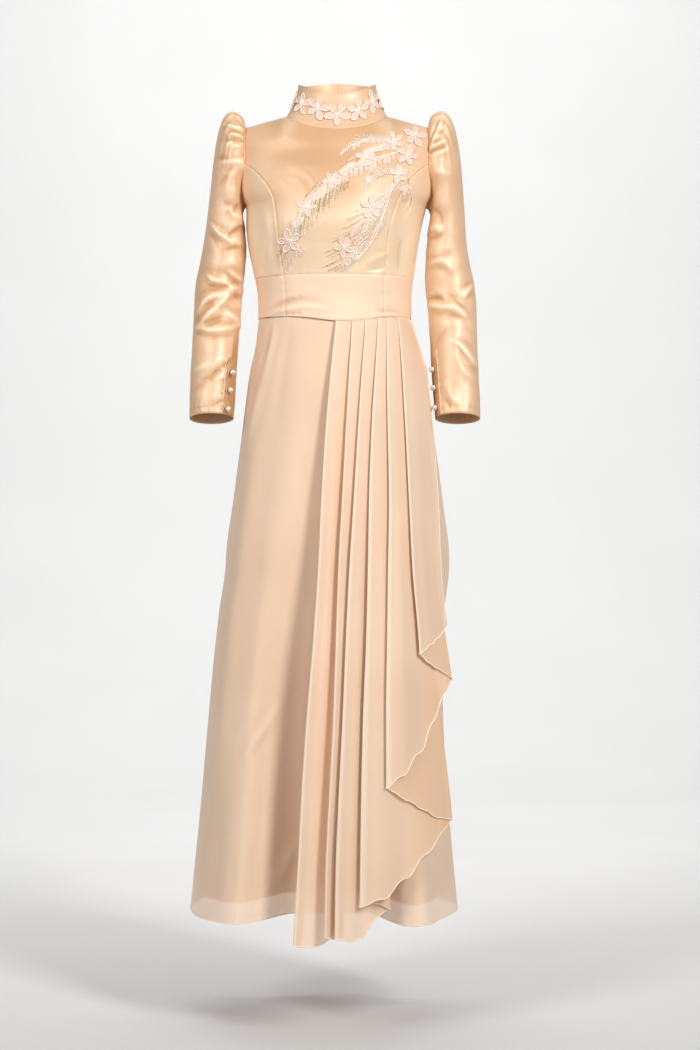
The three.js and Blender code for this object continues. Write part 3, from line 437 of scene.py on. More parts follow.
def profile(rows, key, value):
    """A table's column as a smooth function of its first column (monotone cubic)."""
    x, y = next(iter(rows.values())), rows[key]
    slope = np.diff(y) / np.diff(x)
    before, after = slope[:-1], slope[1:]
    same = before * after > 0
    inside = np.where(same, 2 * before * after / np.where(same, before + after, 1), 0)
    tangent = np.concatenate([slope[:1], inside, slope[-1:]])
    value = np.clip(np.asarray(value, float), x[0], x[-1])
    i = np.clip(np.searchsorted(x, value, side="right") - 1, 0, len(x) - 2)
    span = x[i + 1] - x[i]
    t = (value - x[i]) / span
    bend = (1 - t) * tangent[i] - t * tangent[i + 1]
    return mix(y[i], y[i + 1], t * t * (3 - 2 * t)) + span * t * (1 - t) * bend


def edge_dense(count, share=0.8):
    """0 to 1 in count steps that are closer at both ends."""
    t = np.linspace(0, 1, count + 1)
    return t - share * np.sin(2 * math.pi * t) / (2 * math.pi)


def to_segment(px, py, ax, ay, bx, by):
    """Distance from points to a segment, and the share of the way along it."""
    dx, dy = bx - ax, by - ay
    t = ((px - ax) * dx + (py - ay) * dy) / (dx * dx + dy * dy)
    near = np.clip(t, 0, 1)
    return np.hypot(px - ax - near * dx, py - ay - near * dy), near


def crease(px, py, ends, width, height):
    """A soft ridge (or trough) along a segment, with a shallow dip beside it, fading at both ends."""
    away, along = to_segment(px, py, *ends)
    fade = 0.35 + 0.65 * np.sin(math.pi * along)
    return height * fade * (bell(away, width) - 0.25 * bell(away - 2 * width, width))


def line_through(points, count):
    points = np.array(points, float)
    reach = lengths(points, 0)
    rows = {"t": reach, "x": points[:, 0], "z": points[:, 1]}
    t = np.linspace(0, reach[-1], count)
    return np.stack([profile(rows, "x", t), profile(rows, "z", t)], -1)


def folds(x, z, rows, strength):
    """Height of curved folds at places in a view: a rounded ridge with a dip on each side of it."""
    total = np.zeros_like(x)
    for *points, width, height in rows:
        line = line_through(np.reshape(points, (-1, 2)), 11)
        low, high = line.min(0) - 4 * width, line.max(0) + 4 * width
        near = (x > low[0]) & (x < high[0]) & (z > low[1]) & (z < high[1])
        if not near.any():
            continue
        px, pz = x[near], z[near]
        best, share = np.full(px.shape, 1e9), np.zeros(px.shape)
        for i in range(len(line) - 1):
            away, along = to_segment(px, pz, *line[i], *line[i + 1])
            closer = away < best
            best = np.where(closer, away, best)
            share = np.where(closer, (i + along) / (len(line) - 1), share)
        fade = 0.3 + 0.7 * np.sin(math.pi * share) ** 0.7
        spread = width * (0.95 + 0.6 * np.sin(math.pi * share))
        hill = 1 / (1 + (best / spread) ** 2) ** 2 - 0.3 * bell(best - 2.1 * spread, spread)
        total[near] += height * strength * fade * hill
    return total


def outward(points, closed=False):
    """Unit normals of a grid of points, across x down, turned to the gown's outside."""
    if closed:
        across = np.roll(points, -1, 0) - np.roll(points, 1, 0)
        from_middle = points - points.mean(0)
    else:
        across = np.gradient(points, axis=0)
        from_middle = points * np.array([1, 1, 0])
    normal = unit(np.cross(np.gradient(points, axis=1), across))
    return normal * np.sign((normal * from_middle).sum(-1).mean())


# ---------------------------------------------------------------- surfaces (mm)
def spread_over(*values):
    return np.broadcast_arrays(*(np.asarray(value, float) for value in values))


def shoulder_height(x):
    across = np.abs(x)
    nape = NAPE_RISE * (1 - (across / NECK_HALF) ** 2)
    return np.where(across < NECK_HALF, nape, -SHOULDER_DROP * (across - NECK_HALF) / SHOULDER_RUN)


def torso(angle, z):
    angle, z = spread_over(angle, z)
    sine, cosine = np.sin(angle * RAD), np.cos(angle * RAD)
    front = cosine > 0
    x = profile(TORSO, "middle", z) + profile(TORSO, "half", z) * sine
    middle = np.clip(1 - (x / NECK_HALF) ** 2, 0, 1)
    roundness = 50 + np.where(front, 40, 10) * middle
    t = np.clip((shoulder_height(x) - z) / roundness, 0, 1)
    cap = np.sqrt(1 - (1 - t) ** 2)
    depth = np.where(front, profile(TORSO, "front", z), profile(TORSO, "back", z))
    return np.stack([x, -depth * cosine * cap, z], -1)


def armhole_angle(z):
    return profile(ARMHOLE, "angle", z)


def armhole_height(turn):
    return ARMHOLE_MIDDLE + ARMHOLE_HALF * np.cos(np.asarray(turn, float) * RAD)


def armhole(side, turn):
    """Points of the bodice along the sleeve's seam."""
    height = armhole_height(turn)
    angle = armhole_angle(height)
    return torso(side * np.where(np.sin(turn * RAD) >= 0, angle, 180 - angle), height)


def princess_angle(z):
    return np.arcsin(np.minimum(1, profile(PRINCESS, "half", z) / profile(TORSO, "half", z))) / RAD


def band_bottom(angle):
    return BAND_BOTTOM - DIP_DEPTH * bell(np.asarray(angle, float) - DIP_AT, DIP_SPREAD)


def neck_front(u):
    return -NECK_DROP_FRONT * np.maximum(0, 1 - u * u) ** 0.65


def neck_back(u):
    return NAPE_RISE * (1 - u * u) - NECK_DROP_BACK * np.sqrt(np.maximum(0, 1 - u * u))


def upper_edge(u, neck):
    across = np.abs(u) * (NECK_HALF + SHOULDER_RUN)
    return np.where(across <= NECK_HALF, neck(np.minimum(1, across / NECK_HALF)), shoulder_height(across))


def collar(angle, height):
    angle, height = spread_over(angle, height)
    sine, cosine = np.sin(angle * RAD), np.cos(angle * RAD)
    front = cosine > 0
    foot_x = NECK_HALF * sine
    foot_z = np.where(front, neck_front(np.abs(sine)), neck_back(np.abs(sine)))
    at = np.arcsin(np.minimum(1, np.abs(foot_x) / profile(TORSO, "half", foot_z))) / RAD
    foot_y = torso(np.where(front, at, 180 - at), foot_z)[..., 1]
    head_z = mix(COLLAR_TOP_SIDE, np.where(front, COLLAR_TOP_FRONT, COLLAR_TOP_BACK), cosine**2)
    head_y = -np.where(front, COLLAR_FRONT, COLLAR_BACK) * cosine
    flare = (1 - height) ** 1.8
    x, y = mix(COLLAR_HALF * sine, foot_x, flare), mix(head_y, foot_y, flare)
    return np.stack([x, y, mix(foot_z, head_z, height)], -1)


def flute(angle, key):
    return profile(FLUTES, key, np.where(np.asarray(angle) < -90, np.asarray(angle) + 360, angle))


def skirt(angle, z):
    angle, z = spread_over(angle, z)
    cosine = np.cos(angle * RAD)
    depth = np.where(cosine > 0, profile(SKIRT, "front", z), profile(SKIRT, "back", z))
    push = flute(angle, "push") * profile(SKIRT, "flute", z)
    x = profile(SKIRT, "middle", z) + profile(SKIRT, "half", z) * np.sin(angle * RAD)
    return np.stack([x, push - depth * cosine, z], -1)


def drape_base(x, z):
    share = np.abs(x - profile(OVERSKIRT, "middle", z)) / profile(OVERSKIRT, "half", z)
    return profile(OVERSKIRT, "front", z) * np.sqrt(1 - np.minimum(1, share) ** 2)


def sway(x, z):
    """Soft unevenness shared by every layer of the overskirt, so that none crosses another."""
    grown = smooth(-360, -1100, z)
    return grown * (3.2 * np.sin(x / 21 + z / 260) + 2.2 * np.sin(x / 12.5 - z / 190 + 1.3))


def drape_point(kind, k, share, z):
    fold, turn, step = (profile(OVERSKIRT, key, z) for key in ("fold", "turn", "step"))
    right = profile(FOLDS, f"right{k}", z) if k else profile(FOLDS, "left1", z) + OVERSKIRT_RETURN
    if kind == "face":
        start = profile(FOLDS, f"left{k}", z)
        near, far = k * step + 2 * fold + turn, k * step
    else:
        start = profile(FOLDS, f"left{k + 1}", z)
        near, far = (k + 1) * step + 2 * fold, k * step + turn
    x = mix(start + turn / 2, right - turn / 2, share)
    forward = mix(near, far, share) + sway(x, z)
    for ridge in FACE_RIDGES:
        if kind == "face" and ridge["face"] == k:
            height = mix(ridge["top"], ridge["hem"], smooth(-345, -1150, z))
            forward = forward + height * bell(share - ridge["share"], ridge["width"])
    return np.stack([x, -drape_base(x, z) - forward, z], -1)


def cascade_hem(kind, k, share):
    """Height of the hem along a layer; the slanted runs are frilled by their rolled edge."""
    ends = CASCADE[f"{kind}{k}"]
    frill = 0.03 * abs(ends[0] - ends[-1]) * np.sin(share * 26 + k) * np.sin(math.pi * share)
    return float(np.interp(share * 4, range(5), ends) + frill)


def sleeve_relief(side, turn, s, point):
    """Folds of a sleeve at its own places, in mm outward."""
    facing = np.sin(turn * RAD)
    front, rear = smooth(-0.25, 0.15, facing), smooth(0.25, -0.15, facing)
    x, z = point[..., 0] * side, point[..., 2]
    shown = folds(x, z, LEFT_FOLDS if side > 0 else RIGHT_FOLDS, 1.15)
    hidden = folds(np.abs(x) + 2 * side, z + 3 * side, SLEEVE_BACK_FOLDS, 1.1)
    ripple = 0.45 * np.sin(turn * RAD * 3 + s / 31 + side) + 0.35 * np.sin(turn * RAD * 5 - s / 47 + 2)
    return (shown * front + hidden * rear + ripple) * smooth(-4, 7, s) * (1 - 0.8 * smooth(545, 564, s))


def sleeve(side, turn, s):
    turn, s = spread_over(turn, s)
    at = {key: profile(SLEEVE, key, s) for key in list(SLEEVE)[1:]}
    cosine, sine = np.cos(turn * RAD), np.sin(turn * RAD)
    arm_x, arm_z = (at["outX"] - at["inX"]) / 2, (at["outZ"] - at["inZ"]) / 2
    middle, depth = (at["back"] - at["front"]) / 2, (at["back"] + at["front"]) / 2
    x = (at["outX"] + at["inX"]) / 2 + SLEEVE_LEAN[side] * smooth(110, 320, s) + arm_x * cosine
    y = middle - depth * sine
    z = (at["outZ"] + at["inZ"]) / 2 + arm_z * cosine + np.tan(at["tilt"] * RAD) * depth * sine
    seam = armhole(side, turn)
    blend = (1 - smooth(0, 90, s)) ** 1.5
    x = x + (side * seam[..., 0] + SEAM - SLEEVE["inX"][0]) * blend
    y = y + (seam[..., 1] - (1.5 - 44.5 * sine)) * blend
    from_top = np.where(turn > 180, 360 - turn, turn)
    wave = np.where(from_top < GATHER_ARC, -np.cos(from_top / GATHER_ARC * GATHERS * 2 * math.pi), 0)
    sharp = np.sign(wave) * np.abs(wave) ** 0.8
    raised = at["gather"] * 0.6 * (sharp + 0.35) + sleeve_relief(side, turn, s, np.stack([x, y, z], -1))
    radial = unit(np.stack([cosine * arm_x, -depth * sine, cosine * arm_z], -1))
    return (np.stack([x, y, z], -1) + radial * raised[..., None]) * np.array([side, 1, 1])


def over_sleeve(side, turn, s, lift):
    """A point of a sleeve, moved out from the cloth."""
    across = sleeve(side, turn + 2, s) - sleeve(side, turn - 2, s)
    down = sleeve(side, turn, np.minimum(SLEEVE_LENGTH, s + 3)) - sleeve(side, turn, s - 3)
    normal = unit(np.cross(down, across) * -side)
    return sleeve(side, turn, s) + normal * np.asarray(lift, float)[..., None]


def placket_angle(side, s):
    """Angle of the middle of the cuff's button strip at a length down the sleeve."""
    angles = [pearl["angle"] for pearl in PEARLS if pearl["side"] == side]
    share = (np.asarray(s, float) - PLACKET_FROM) / (PLACKET_TO - PLACKET_FROM)
    return mix(angles[0], angles[2], share)


# ---------------------------------------------------------------- materials
class Look:
    """A procedural material; the slot that it is given is not used."""

    def __init__(self, name, slot, sockets):
        self.slot, self.material = slot, bpy.data.materials.new(name)
        self.material.use_nodes = True
        self.tree = self.material.node_tree
        self.shader = self.tree.nodes["Principled BSDF"]
        for socket, value in sockets.items():
            self.shader.inputs[socket].default_value = value

    def node(self, kind, inputs=(), **settings):
        """A node with its settings made, then its inputs set or linked."""
        node = self.tree.nodes.new("ShaderNode" + kind)
        for key, value in settings.items():
            setattr(node, key, value)
        for key, value in dict(inputs).items():
            if isinstance(value, bpy.types.NodeSocket):
                self.tree.links.new(value, node.inputs[key])
            else:
                node.inputs[key].default_value = value
        return node

    def noise(self, scale, detail, stretch=(1, 1, 1)):
        place = self.node("TexCoord").outputs["Object"]
        place = self.node("Mapping", {"Vector": place, "Scale": stretch}).outputs["Vector"]
        return self.node("TexNoise", {"Vector": place, "Scale": scale, "Detail": detail}).outputs["Fac"]

    def weave(self, across, along):
        """Two crossing sets of threads, on the piece's own cloth coordinates (metres)."""
        place, threads = self.node("TexCoord").outputs["UV"], {}
        for n, (axis, count) in enumerate((("X", across), ("Y", along))):
            inputs = {"Vector": place, "Scale": count, "Distortion": 0.6, "Detail": 1}
            threads[n] = self.node("TexWave", inputs, bands_direction=axis).outputs["Fac"]
        return self.node("Math", threads, operation="MULTIPLY").outputs[0]

    def color(self, factor, dark, light, limits=(0.35, 0.65), **turns):
        """Two tones, turned towards others where the piece's own attributes say so; the satin and chiffon
        use these turns for painted shade and painted highlight.
        """
        ramp = self.node("ValToRGB", {"Fac": factor})
        for stop, place, tone in zip(ramp.color_ramp.elements, limits, (dark, light)):
            stop.position, stop.color = place, (*tone, 1)
        color = ramp.outputs["Color"]
        for attribute, other in turns.items():
            share = self.node("Attribute", attribute_name=attribute).outputs["Fac"]
            inputs = {"Factor": share, "A": color, "B": (*other, 1)}
            color = self.node("Mix", inputs, data_type="RGBA").outputs["Result"]
        self.tree.links.new(color, self.shader.inputs["Base Color"])

    def bump(self, distance, *heights):
        """Heights, each (factor, strength), one over the other."""
        normal = {}
        for factor, strength in heights:
            inputs = {"Strength": strength, "Distance": distance, "Height": factor, **normal}
            normal = {"Normal": self.node("Bump", inputs).outputs["Normal"]}
        self.tree.links.new(normal["Normal"], self.shader.inputs["Normal"])


def satin(name, slot, dark, light, roughness):
    sockets = {"Roughness": roughness, "Metallic": 0.05, "Anisotropic": 0.4, "Specular IOR Level": 0.6}
    sheen = {"Sheen Weight": 0.12, "Sheen Roughness": 0.35, "Sheen Tint": (1, 0.9, 0.76, 1)}
    look = Look(name, slot, sockets | sheen)
    # gleam is a painted highlight colour and shade a painted shade colour, laid on where the pieces' gleam
    # and shade attributes say
    look.color(look.noise(9, 2), dark, light, gleam=(0.96, 0.76, 0.54), shade=(0.50, 0.235, 0.075))
    look.bump(0.0006, (look.noise(60, 4, (1, 1, 0.2)), 0.10), (look.weave(900, 500), 0.05))
    return look


def chiffon(name, slot, dark, light, alpha):
    sockets = {"Roughness": 0.8, "Alpha": alpha, "Specular IOR Level": 0.25}
    sheen = {"Sheen Weight": 0.3, "Sheen Roughness": 0.6, "Sheen Tint": (1, 0.93, 0.84, 1)}
    look = Look(name, slot, sockets | sheen)
    # gleam is a painted highlight colour and shade a warm painted shade colour, laid on where the pieces'
    # gleam and shade attributes say
    look.color(look.noise(5, 2), dark, light, gleam=(1, 0.88, 0.70), shade=(0.93, 0.50, 0.18))
    look.bump(0.0005, (look.noise(420, 3), 0.12), (look.weave(700, 700), 0.06))
    return look


def thread(name, slot, dark, light, roughness=0.55, sheen=0.4):
    look = Look(name, slot, {"Roughness": roughness, "Sheen Weight": sheen})
    look.color(look.noise(260, 3), dark, light, (0.3, 0.7))
    look.bump(0.0004, (look.noise(900, 2), 0.3))
    return look


def bead(name, slot, dark, light, roughness, metallic, coat):
    sockets = {"Roughness": roughness, "Metallic": metallic, "Coat Weight": coat, "Coat Roughness": 0.12}
    look = Look(name, slot, sockets)
    look.color(look.noise(180, 2), dark, light)
    look.bump(0.0003, (look.noise(500, 2), 0.05))
    return look


SATIN = satin("satin", "satin", (0.74, 0.475, 0.285), (0.80, 0.54, 0.345), 0.4)
BAND_SATIN = satin("band_satin", "satin", (0.87, 0.61, 0.43), (0.91, 0.67, 0.49), 0.6)
CHIFFON = chiffon("chiffon", "chiffon", (0.88, 0.64, 0.465), (0.92, 0.69, 0.51), 0.84)
LINING = satin("lining", "lining", (0.80, 0.55, 0.37), (0.86, 0.62, 0.43), 0.55)
HEM_THREAD = thread("hem_thread", "chiffon", (0.93, 0.74, 0.54), (0.99, 0.86, 0.68))
STITCH = thread("stitch", "satin", (0.68, 0.44, 0.25), (0.80, 0.57, 0.36))
PETAL = thread("petal", "applique", (0.83, 0.51, 0.44), (0.91, 0.62, 0.54), 0.6, 0.2)
CORD = thread("cord", "applique", (0.90, 0.76, 0.63), (0.98, 0.88, 0.77), 0.4, 0.4)
GOLD = bead("gold_bead", "applique", (0.60, 0.38, 0.16), (0.84, 0.62, 0.34), 0.25, 0.15, 0.5)
CLEAR = bead("ivory_bead", "applique", (0.95, 0.84, 0.70), (1.0, 0.95, 0.86), 0.12, 0.0, 0.8)
PEARL = bead("pearl", "pearl", (0.60, 0.56, 0.47), (0.76, 0.71, 0.60), 0.22, 0.35, 1.0)


# ---------------------------------------------------------------- meshes
def placed(name, data):
    obj = bpy.data.objects.new(name, data)
    bpy.context.scene.collection.objects.link(obj)
    return obj


def mesh_object(name, vertices, faces, look, uvs=None):
    """A mesh from points in mm and a list of arrays of faces, each with its own number of corners."""
    mesh = bpy.data.meshes.new(name)
    faces = [np.asarray(block, np.int32) for block in faces]
    corners = np.concatenate([block.ravel() for block in faces])
    totals = np.concatenate([np.full(len(block), block.shape[1], np.int32) for block in faces])
    mesh.vertices.add(len(vertices))
    mesh.vertices.foreach_set("co", (np.asarray(vertices, np.float32) * MM).ravel())
    mesh.loops.add(len(corners))
    mesh.loops.foreach_set("vertex_index", corners)
    mesh.polygons.add(len(totals))
    mesh.polygons.foreach_set("loop_start", np.cumsum(totals, dtype=np.int32) - totals)
    mesh.update(calc_edges=True)
    if uvs is not None:
        layer = mesh.uv_layers.new(name="cloth")
        layer.data.foreach_set("uv", (np.asarray(uvs)[corners] * MM).ravel())
    mesh.polygons.foreach_set("use_smooth", [True] * len(totals))
    mesh.materials.append(look.material)
    mesh.update()
    return placed(name, mesh)


def dressed(obj, nodes):
    if nodes:
        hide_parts(*nodes)
    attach(obj, "root")


def standing_out(points, closed):
    """How far each place of a grid stands out from its surroundings, in mm; hollows are negative."""
    soft = points
    for _ in range(BLUR_PASSES):
        wide = np.pad(soft, ((1, 1), (0, 0), (0, 0)), "wrap" if closed else "edge")
        soft = (wide[:-2] + 2 * soft + wide[2:]) / 4
        tall = np.pad(soft, ((0, 0), (1, 1), (0, 0)), "edge")
        soft = (tall[:, :-2] + 2 * soft + tall[:, 2:]) / 4
    return ((points - soft) * outward(points, closed)).sum(-1) - 0.15


def cloth(node, points, look, closed=False, thick=0.0, shade=0, gleam=0, hollows=0.9):
    """A thin sheet from a grid of points (columns of rows, mm) that stands for the named solid."""
    columns, rows = points.shape[:2]
    across, along = lengths(points, 0), lengths(points, 1)
    uvs = np.stack([np.broadcast_to(across.mean(1, keepdims=True), across.shape), along], -1)
    i, j = np.meshgrid(np.arange(columns - (not closed)), np.arange(rows - 1), indexing="ij")
    k = (i + 1) % columns
    faces = np.stack([i * rows + j, i * rows + j + 1, k * rows + j + 1, k * rows + j], -1).reshape(-1, 4)
    obj = mesh_object(f"cloth_{node}", points.reshape(-1, 3), [faces], look, uvs.reshape(-1, 2))
    # Painted shade in the hollows and painted highlight on the ridges of the cloth's own relief, scaled by
    # hollows, over any shade and gleam that is given
    relief = standing_out(points, closed) * hollows
    shade = np.maximum(shade, smooth(0.02, 1.1, -relief) * 0.75)
    gleam = np.maximum(gleam, smooth(0.05, 1.2, relief) * 0.85)
    for name, values in (("shade", shade), ("gleam", gleam)):
        layer = obj.data.attributes.new(name, "FLOAT", "POINT")
        layer.data.foreach_set("value", np.clip(values, 0, 1).astype(np.float32).ravel())
    if thick:
        solidify = obj.modifiers.new("thickness", "SOLIDIFY")
        solidify.thickness, solidify.offset = thick * MM, -1
    ring = np.concatenate([points, points[:1]]) if closed else points
    width, length = lengths(ring, 0)[-1].max() * MM, along[:, -1].max() * MM
    a, b = ring[1:, 1:] - ring[:-1, :-1], ring[1:, :-1] - ring[:-1, 1:]
    area = float(np.linalg.norm(np.cross(a, b), axis=-1).sum() / 2) * MM * MM
    dressed(obj, [node])


class Bunch:
    """Collects many small shapes into one mesh."""

    def __init__(self):
        self.vertices, self.faces, self.count = [], [], 0

    def add(self, vertices, faces):
        """faces: a list of arrays of corners."""
        vertices = np.asarray(vertices, float).reshape(-1, 3)
        self.vertices.append(vertices)
        self.faces += [np.asarray(block, np.int64) + self.count for block in faces]
        self.count += len(vertices)

    def tube(self, path, radius, sides=6, closed=False, taper=False):
        path = np.asarray(path, float)
        n = len(path)
        tangent = unit(np.roll(path, -1, 0) - np.roll(path, 1, 0) if closed else np.gradient(path, axis=0))
        side = unit(np.cross(tangent, np.array(SKEW)))
        over = np.cross(side, tangent)
        size = np.full(n, float(radius)) * (np.linspace(1, 0.35, n) if taper else 1)
        turn = np.linspace(0, 2 * math.pi, sides, endpoint=False)[:, None]
        ring = np.cos(turn) * side[:, None] + np.sin(turn) * over[:, None]
        i, k = np.meshgrid(np.arange(n if closed else n - 1), np.arange(sides), indexing="ij")
        j, m = (i + 1) % n, (k + 1) % sides
        walls = [i * sides + k, i * sides + m, j * sides + m, j * sides + k]
        faces = [np.stack(walls, -1).reshape(-1, 4)]
        if not closed:
            faces += [[np.arange(sides)[::-1]], [(n - 1) * sides + np.arange(sides)]]
        self.add(path[:, None] + ring * size[:, None, None], faces)

    def balls(self, centres, radius, rings=4, sides=6):
        """Round beads, one at each centre."""
        centres = np.asarray(centres, float).reshape(-1, 3)
        lat = np.pi * np.arange(1, rings)[:, None] / rings
        lon = 2 * np.pi * np.arange(sides) / sides
        belt = np.stack([np.sin(lat) * np.cos(lon), np.sin(lat) * np.sin(lon), np.cos(lat) + 0 * lon], -1)
        shape = np.concatenate([[[0, 0, 1]], belt.reshape(-1, 3), [[0, 0, -1]]])
        size = np.broadcast_to(np.asarray(radius, float), (len(centres),))
        k = np.arange(sides)
        m = (k + 1) % sides
        end, last = len(shape) - 1, 1 + (rings - 2) * sides
        caps = [np.stack([0 * k, 1 + k, 1 + m], -1), np.stack([last + m, last + k, 0 * k + end], -1)]
        i = 1 + np.arange(rings - 2)[:, None] * sides
        quads = np.stack([i + k, i + k + sides, i + m + sides, i + m], -1).reshape(-1, 4)
        start = (np.arange(len(centres)) * len(shape))[:, None, None]
        faces = [(np.concatenate(caps) + start).reshape(-1, 3), (quads + start).reshape(-1, 4)]
        self.add(centres[:, None] + shape * size[:, None, None], faces)

    def made(self, name, look, nodes=()):
        dressed(mesh_object(name, np.concatenate(self.vertices), self.faces, look), nodes)


# ---------------------------------------------------------------- bodice, band and collar
def torso_relief(angle, z):
    """Creases of the bodice and band at places of the torso surface, in mm outward."""
    x = torso(angle, z)[..., 0]
    z = np.broadcast_to(z, x.shape)
    shown = folds(x, z, TORSO_FOLDS, 0.65)
    hidden = folds(np.abs(x) + 3 * np.sign(x), z, TORSO_BACK_FOLDS, 0.65)
    height = 0.3 * np.sin(x / 17 + z / 29) * np.sin(z / 21 - x / 37)
    return (height + np.where(np.cos(angle * RAD) > 0, shown, hidden)) * smooth(-5, -50, z)


def seam_dip(points, edges):
    """How far a panel sinks beside its sewn edges, with small puckers across the seam."""
    across, along = lengths(points, 0), lengths(points, 1)
    away = {
        "left": (across, along),
        "right": (across[-1:] - across, along),
        "top": (along, across),
        "bottom": (along[:, -1:] - along, across),
    }
    dip = np.zeros(points.shape[:2])
    for edge in edges.split():
        near, run = away[edge]
        waves = np.sin(run / 2.3 + 1.7 * np.sin(run / 19)) * (0.6 + 0.4 * np.sin(run / 31 + 1))
        dip += 0.7 * bell(near, 1.7) + 0.22 * waves * bell(near, 7)
    return dip


def torso_panel(name, angle, z, edges, look=SATIN):
    points = torso(angle, z)
    raised = torso_relief(angle, z) - seam_dip(points, edges)
    points = points + outward(points) * raised[..., None]
    x, height = np.abs(points[..., 0]), points[..., 2]
    shown = (points[..., 1] < 0) * (look is SATIN)
    # Painted shade on the upper chest, and painted highlight on the lower bodice and on its sides, on the
    # front satin only
    chest_shade = 0.42 * smooth(-225, -90, height) * smooth(140, 80, x) * shown
    low, side = smooth(-130, -215, height), smooth(95, 125, x) * smooth(-60, -130, height)
    cloth(name, points, look, thick=SATIN_WALL, shade=chest_shade, gleam=(0.6 * low + 0.35 * side) * shown)


def upper_panel(u, rows, neck):
    """Heights of a panel's grid, from the neckline and shoulder down to the band."""
    v = edge_dense(rows, 0.75) ** 1.25
    scale = (upper_edge(u, neck)[:, None] - BAND_TOP) / (-SHOULDER_DROP - BAND_TOP)
    return BAND_TOP + (mix(-SHOULDER_DROP, BAND_TOP, v)[None, :] - BAND_TOP) * scale


def front_center():
    u = np.concatenate([mix(-1, 0, edge_dense(52, 0.5)[:-1]), mix(0, 1, edge_dense(52, 0.5))])
    z = upper_panel(u, 120, neck_front)
    edge = np.where(z >= ARMHOLE_MIDDLE, armhole_angle(z), princess_angle(z))
    angle = np.arcsin(u[:, None] * np.sin(edge * RAD)) / RAD
    torso_panel("bodice_front_center", angle, z, "left right bottom top")


def side_front(side, name):
    u, v = edge_dense(44)[:, None], edge_dense(110)[None, :]
    top = armhole_height(mix(90, 180, u))
    inner, outer = mix(ARMHOLE_MIDDLE, BAND_TOP, v), mix(UNDERARM, BAND_TOP, v)
    z = mix(top, BAND_TOP, v) + mix(inner, outer, u) - mix(mix(ARMHOLE_MIDDLE, UNDERARM, u), BAND_TOP, v)
    waist = princess_angle(BAND_TOP)
    corner = armhole_angle(ARMHOLE_MIDDLE)
    seam = np.where(v == 0, corner, princess_angle(inner))
    angle = mix(armhole_angle(top), mix(waist, 90, u), v) + mix(seam, 90, u)
    angle = angle - mix(mix(corner, 90, u), mix(waist, 90, u), v)
    torso_panel(name, side * angle, z, "left right bottom")


def back(side, name):
    u = edge_dense(52, 0.7)
    z = upper_panel(u, 110, neck_back)
    edge = np.where(z >= UNDERARM, armhole_angle(z), 90)
    angle = side * (180 - np.arcsin(u[:, None] * np.sin(edge * RAD)) / RAD)
    torso_panel(name, angle, z, "left right bottom top")


def waistband(part, start, end):
    u, v = edge_dense(max(24, int(abs(end - start)))), edge_dense(30)
    angle = mix(start, end, u)[:, None] * np.ones((1, len(v)))
    z = mix(BAND_TOP, band_bottom(angle[:, :1]), v[None, :])
    torso_panel(f"waistband_{part}", angle, z, "left right top bottom", look=BAND_SATIN)


def collar_strip():
    angle = np.linspace(-179.85, 179.85, 181)[:, None]
    height = edge_dense(28)[::-1][None, :]
    points = collar(angle, height)
    rim = bell(lengths(points, 1), 2.2)  # the folded upper edge is slightly fuller
    soft = 0.35 * np.sin(angle * RAD * 7 + 1) * np.sin(height * 5)
    raised = soft + 0.35 * rim - seam_dip(points, "bottom")
    points = points + outward(points) * raised[..., None]
    points[:, -1, 2] += SEAM
    cloth("collar", points, SATIN, thick=COLLAR_WALL)


# ---------------------------------------------------------------- skirt, lining and overskirt
def skirt_relief(angle, z):
    height = np.zeros(np.broadcast(angle, z).shape)
    for row in SKIRT_CREASES:
        ends = (row["angle1"] * SKIRT_ARC, row["z1"], row["angle2"] * SKIRT_ARC, row["z2"])
        height = height + crease(angle * SKIRT_ARC, z, ends, row["width"], row["height"])
    waves = 1.6 * np.sin(angle * RAD * 9 + z / 310) + 1.1 * np.sin(angle * RAD * 15 - z / 270 + 2)
    return height + smooth(-350, -900, z) * waves


def skirt_grid(start, end, columns, rows, inset=0.0, hem=HEM, relief=1.0):
    angle = mix(start, end, np.linspace(0, 1, columns))[:, None]
    v = np.linspace(0, 1, rows)[None, :] ** 1.12
    z = mix(band_bottom(angle) - SEAM, hem + flute(angle, "rise"), v)
    points = skirt(angle, z)
    tuck = -0.6 * bell(band_bottom(angle) - z, 3)
    raised = skirt_relief(angle, z) * relief * smooth(-343, -375, z) + tuck
    depth = inset + (LINING_INSET * smooth(0, 160, BAND_BOTTOM - z) if inset else 0)
    return points + outward(points) * (raised - depth)[..., None]


def skirts():
    front = skirt_grid(-90, 90, 201, 170)
    left = skirt_grid(90, 180, 101, 150)
    right = skirt_grid(-180, -90, 101, 150)
    for name, points in (("front", front), ("back_left", left), ("back_right", right)):
        cloth(f"skirt_{name}", points, CHIFFON, hollows=0.3)
    lining = skirt_grid(-180, 180, 181, 90, 1.3, LINING_HEM, 0.5)[:-1]
    cloth("skirt_lining", lining, LINING, closed=True)
    hem = Bunch()
    edge = np.concatenate([front[:, -1], left[1:, -1], right[1:-1, -1]])
    hem.tube(edge + [0, 0, 0.6], 1.0, closed=True)
    hem.made("hem_skirt", HEM_THREAD)


def valley_shade(kind, k, share):
    """How much warm painted shade a place of a pleat gets, 0 to 1, most of it deep in the pleat's hollow.
    """
    if kind == "face":
        return 0.0 if k == PLEATS else 0.45 * bell(1 - share, 0.4) + 0.55 * smooth(0.84, 0.95, share)
    return 0.25 if k else 0.0


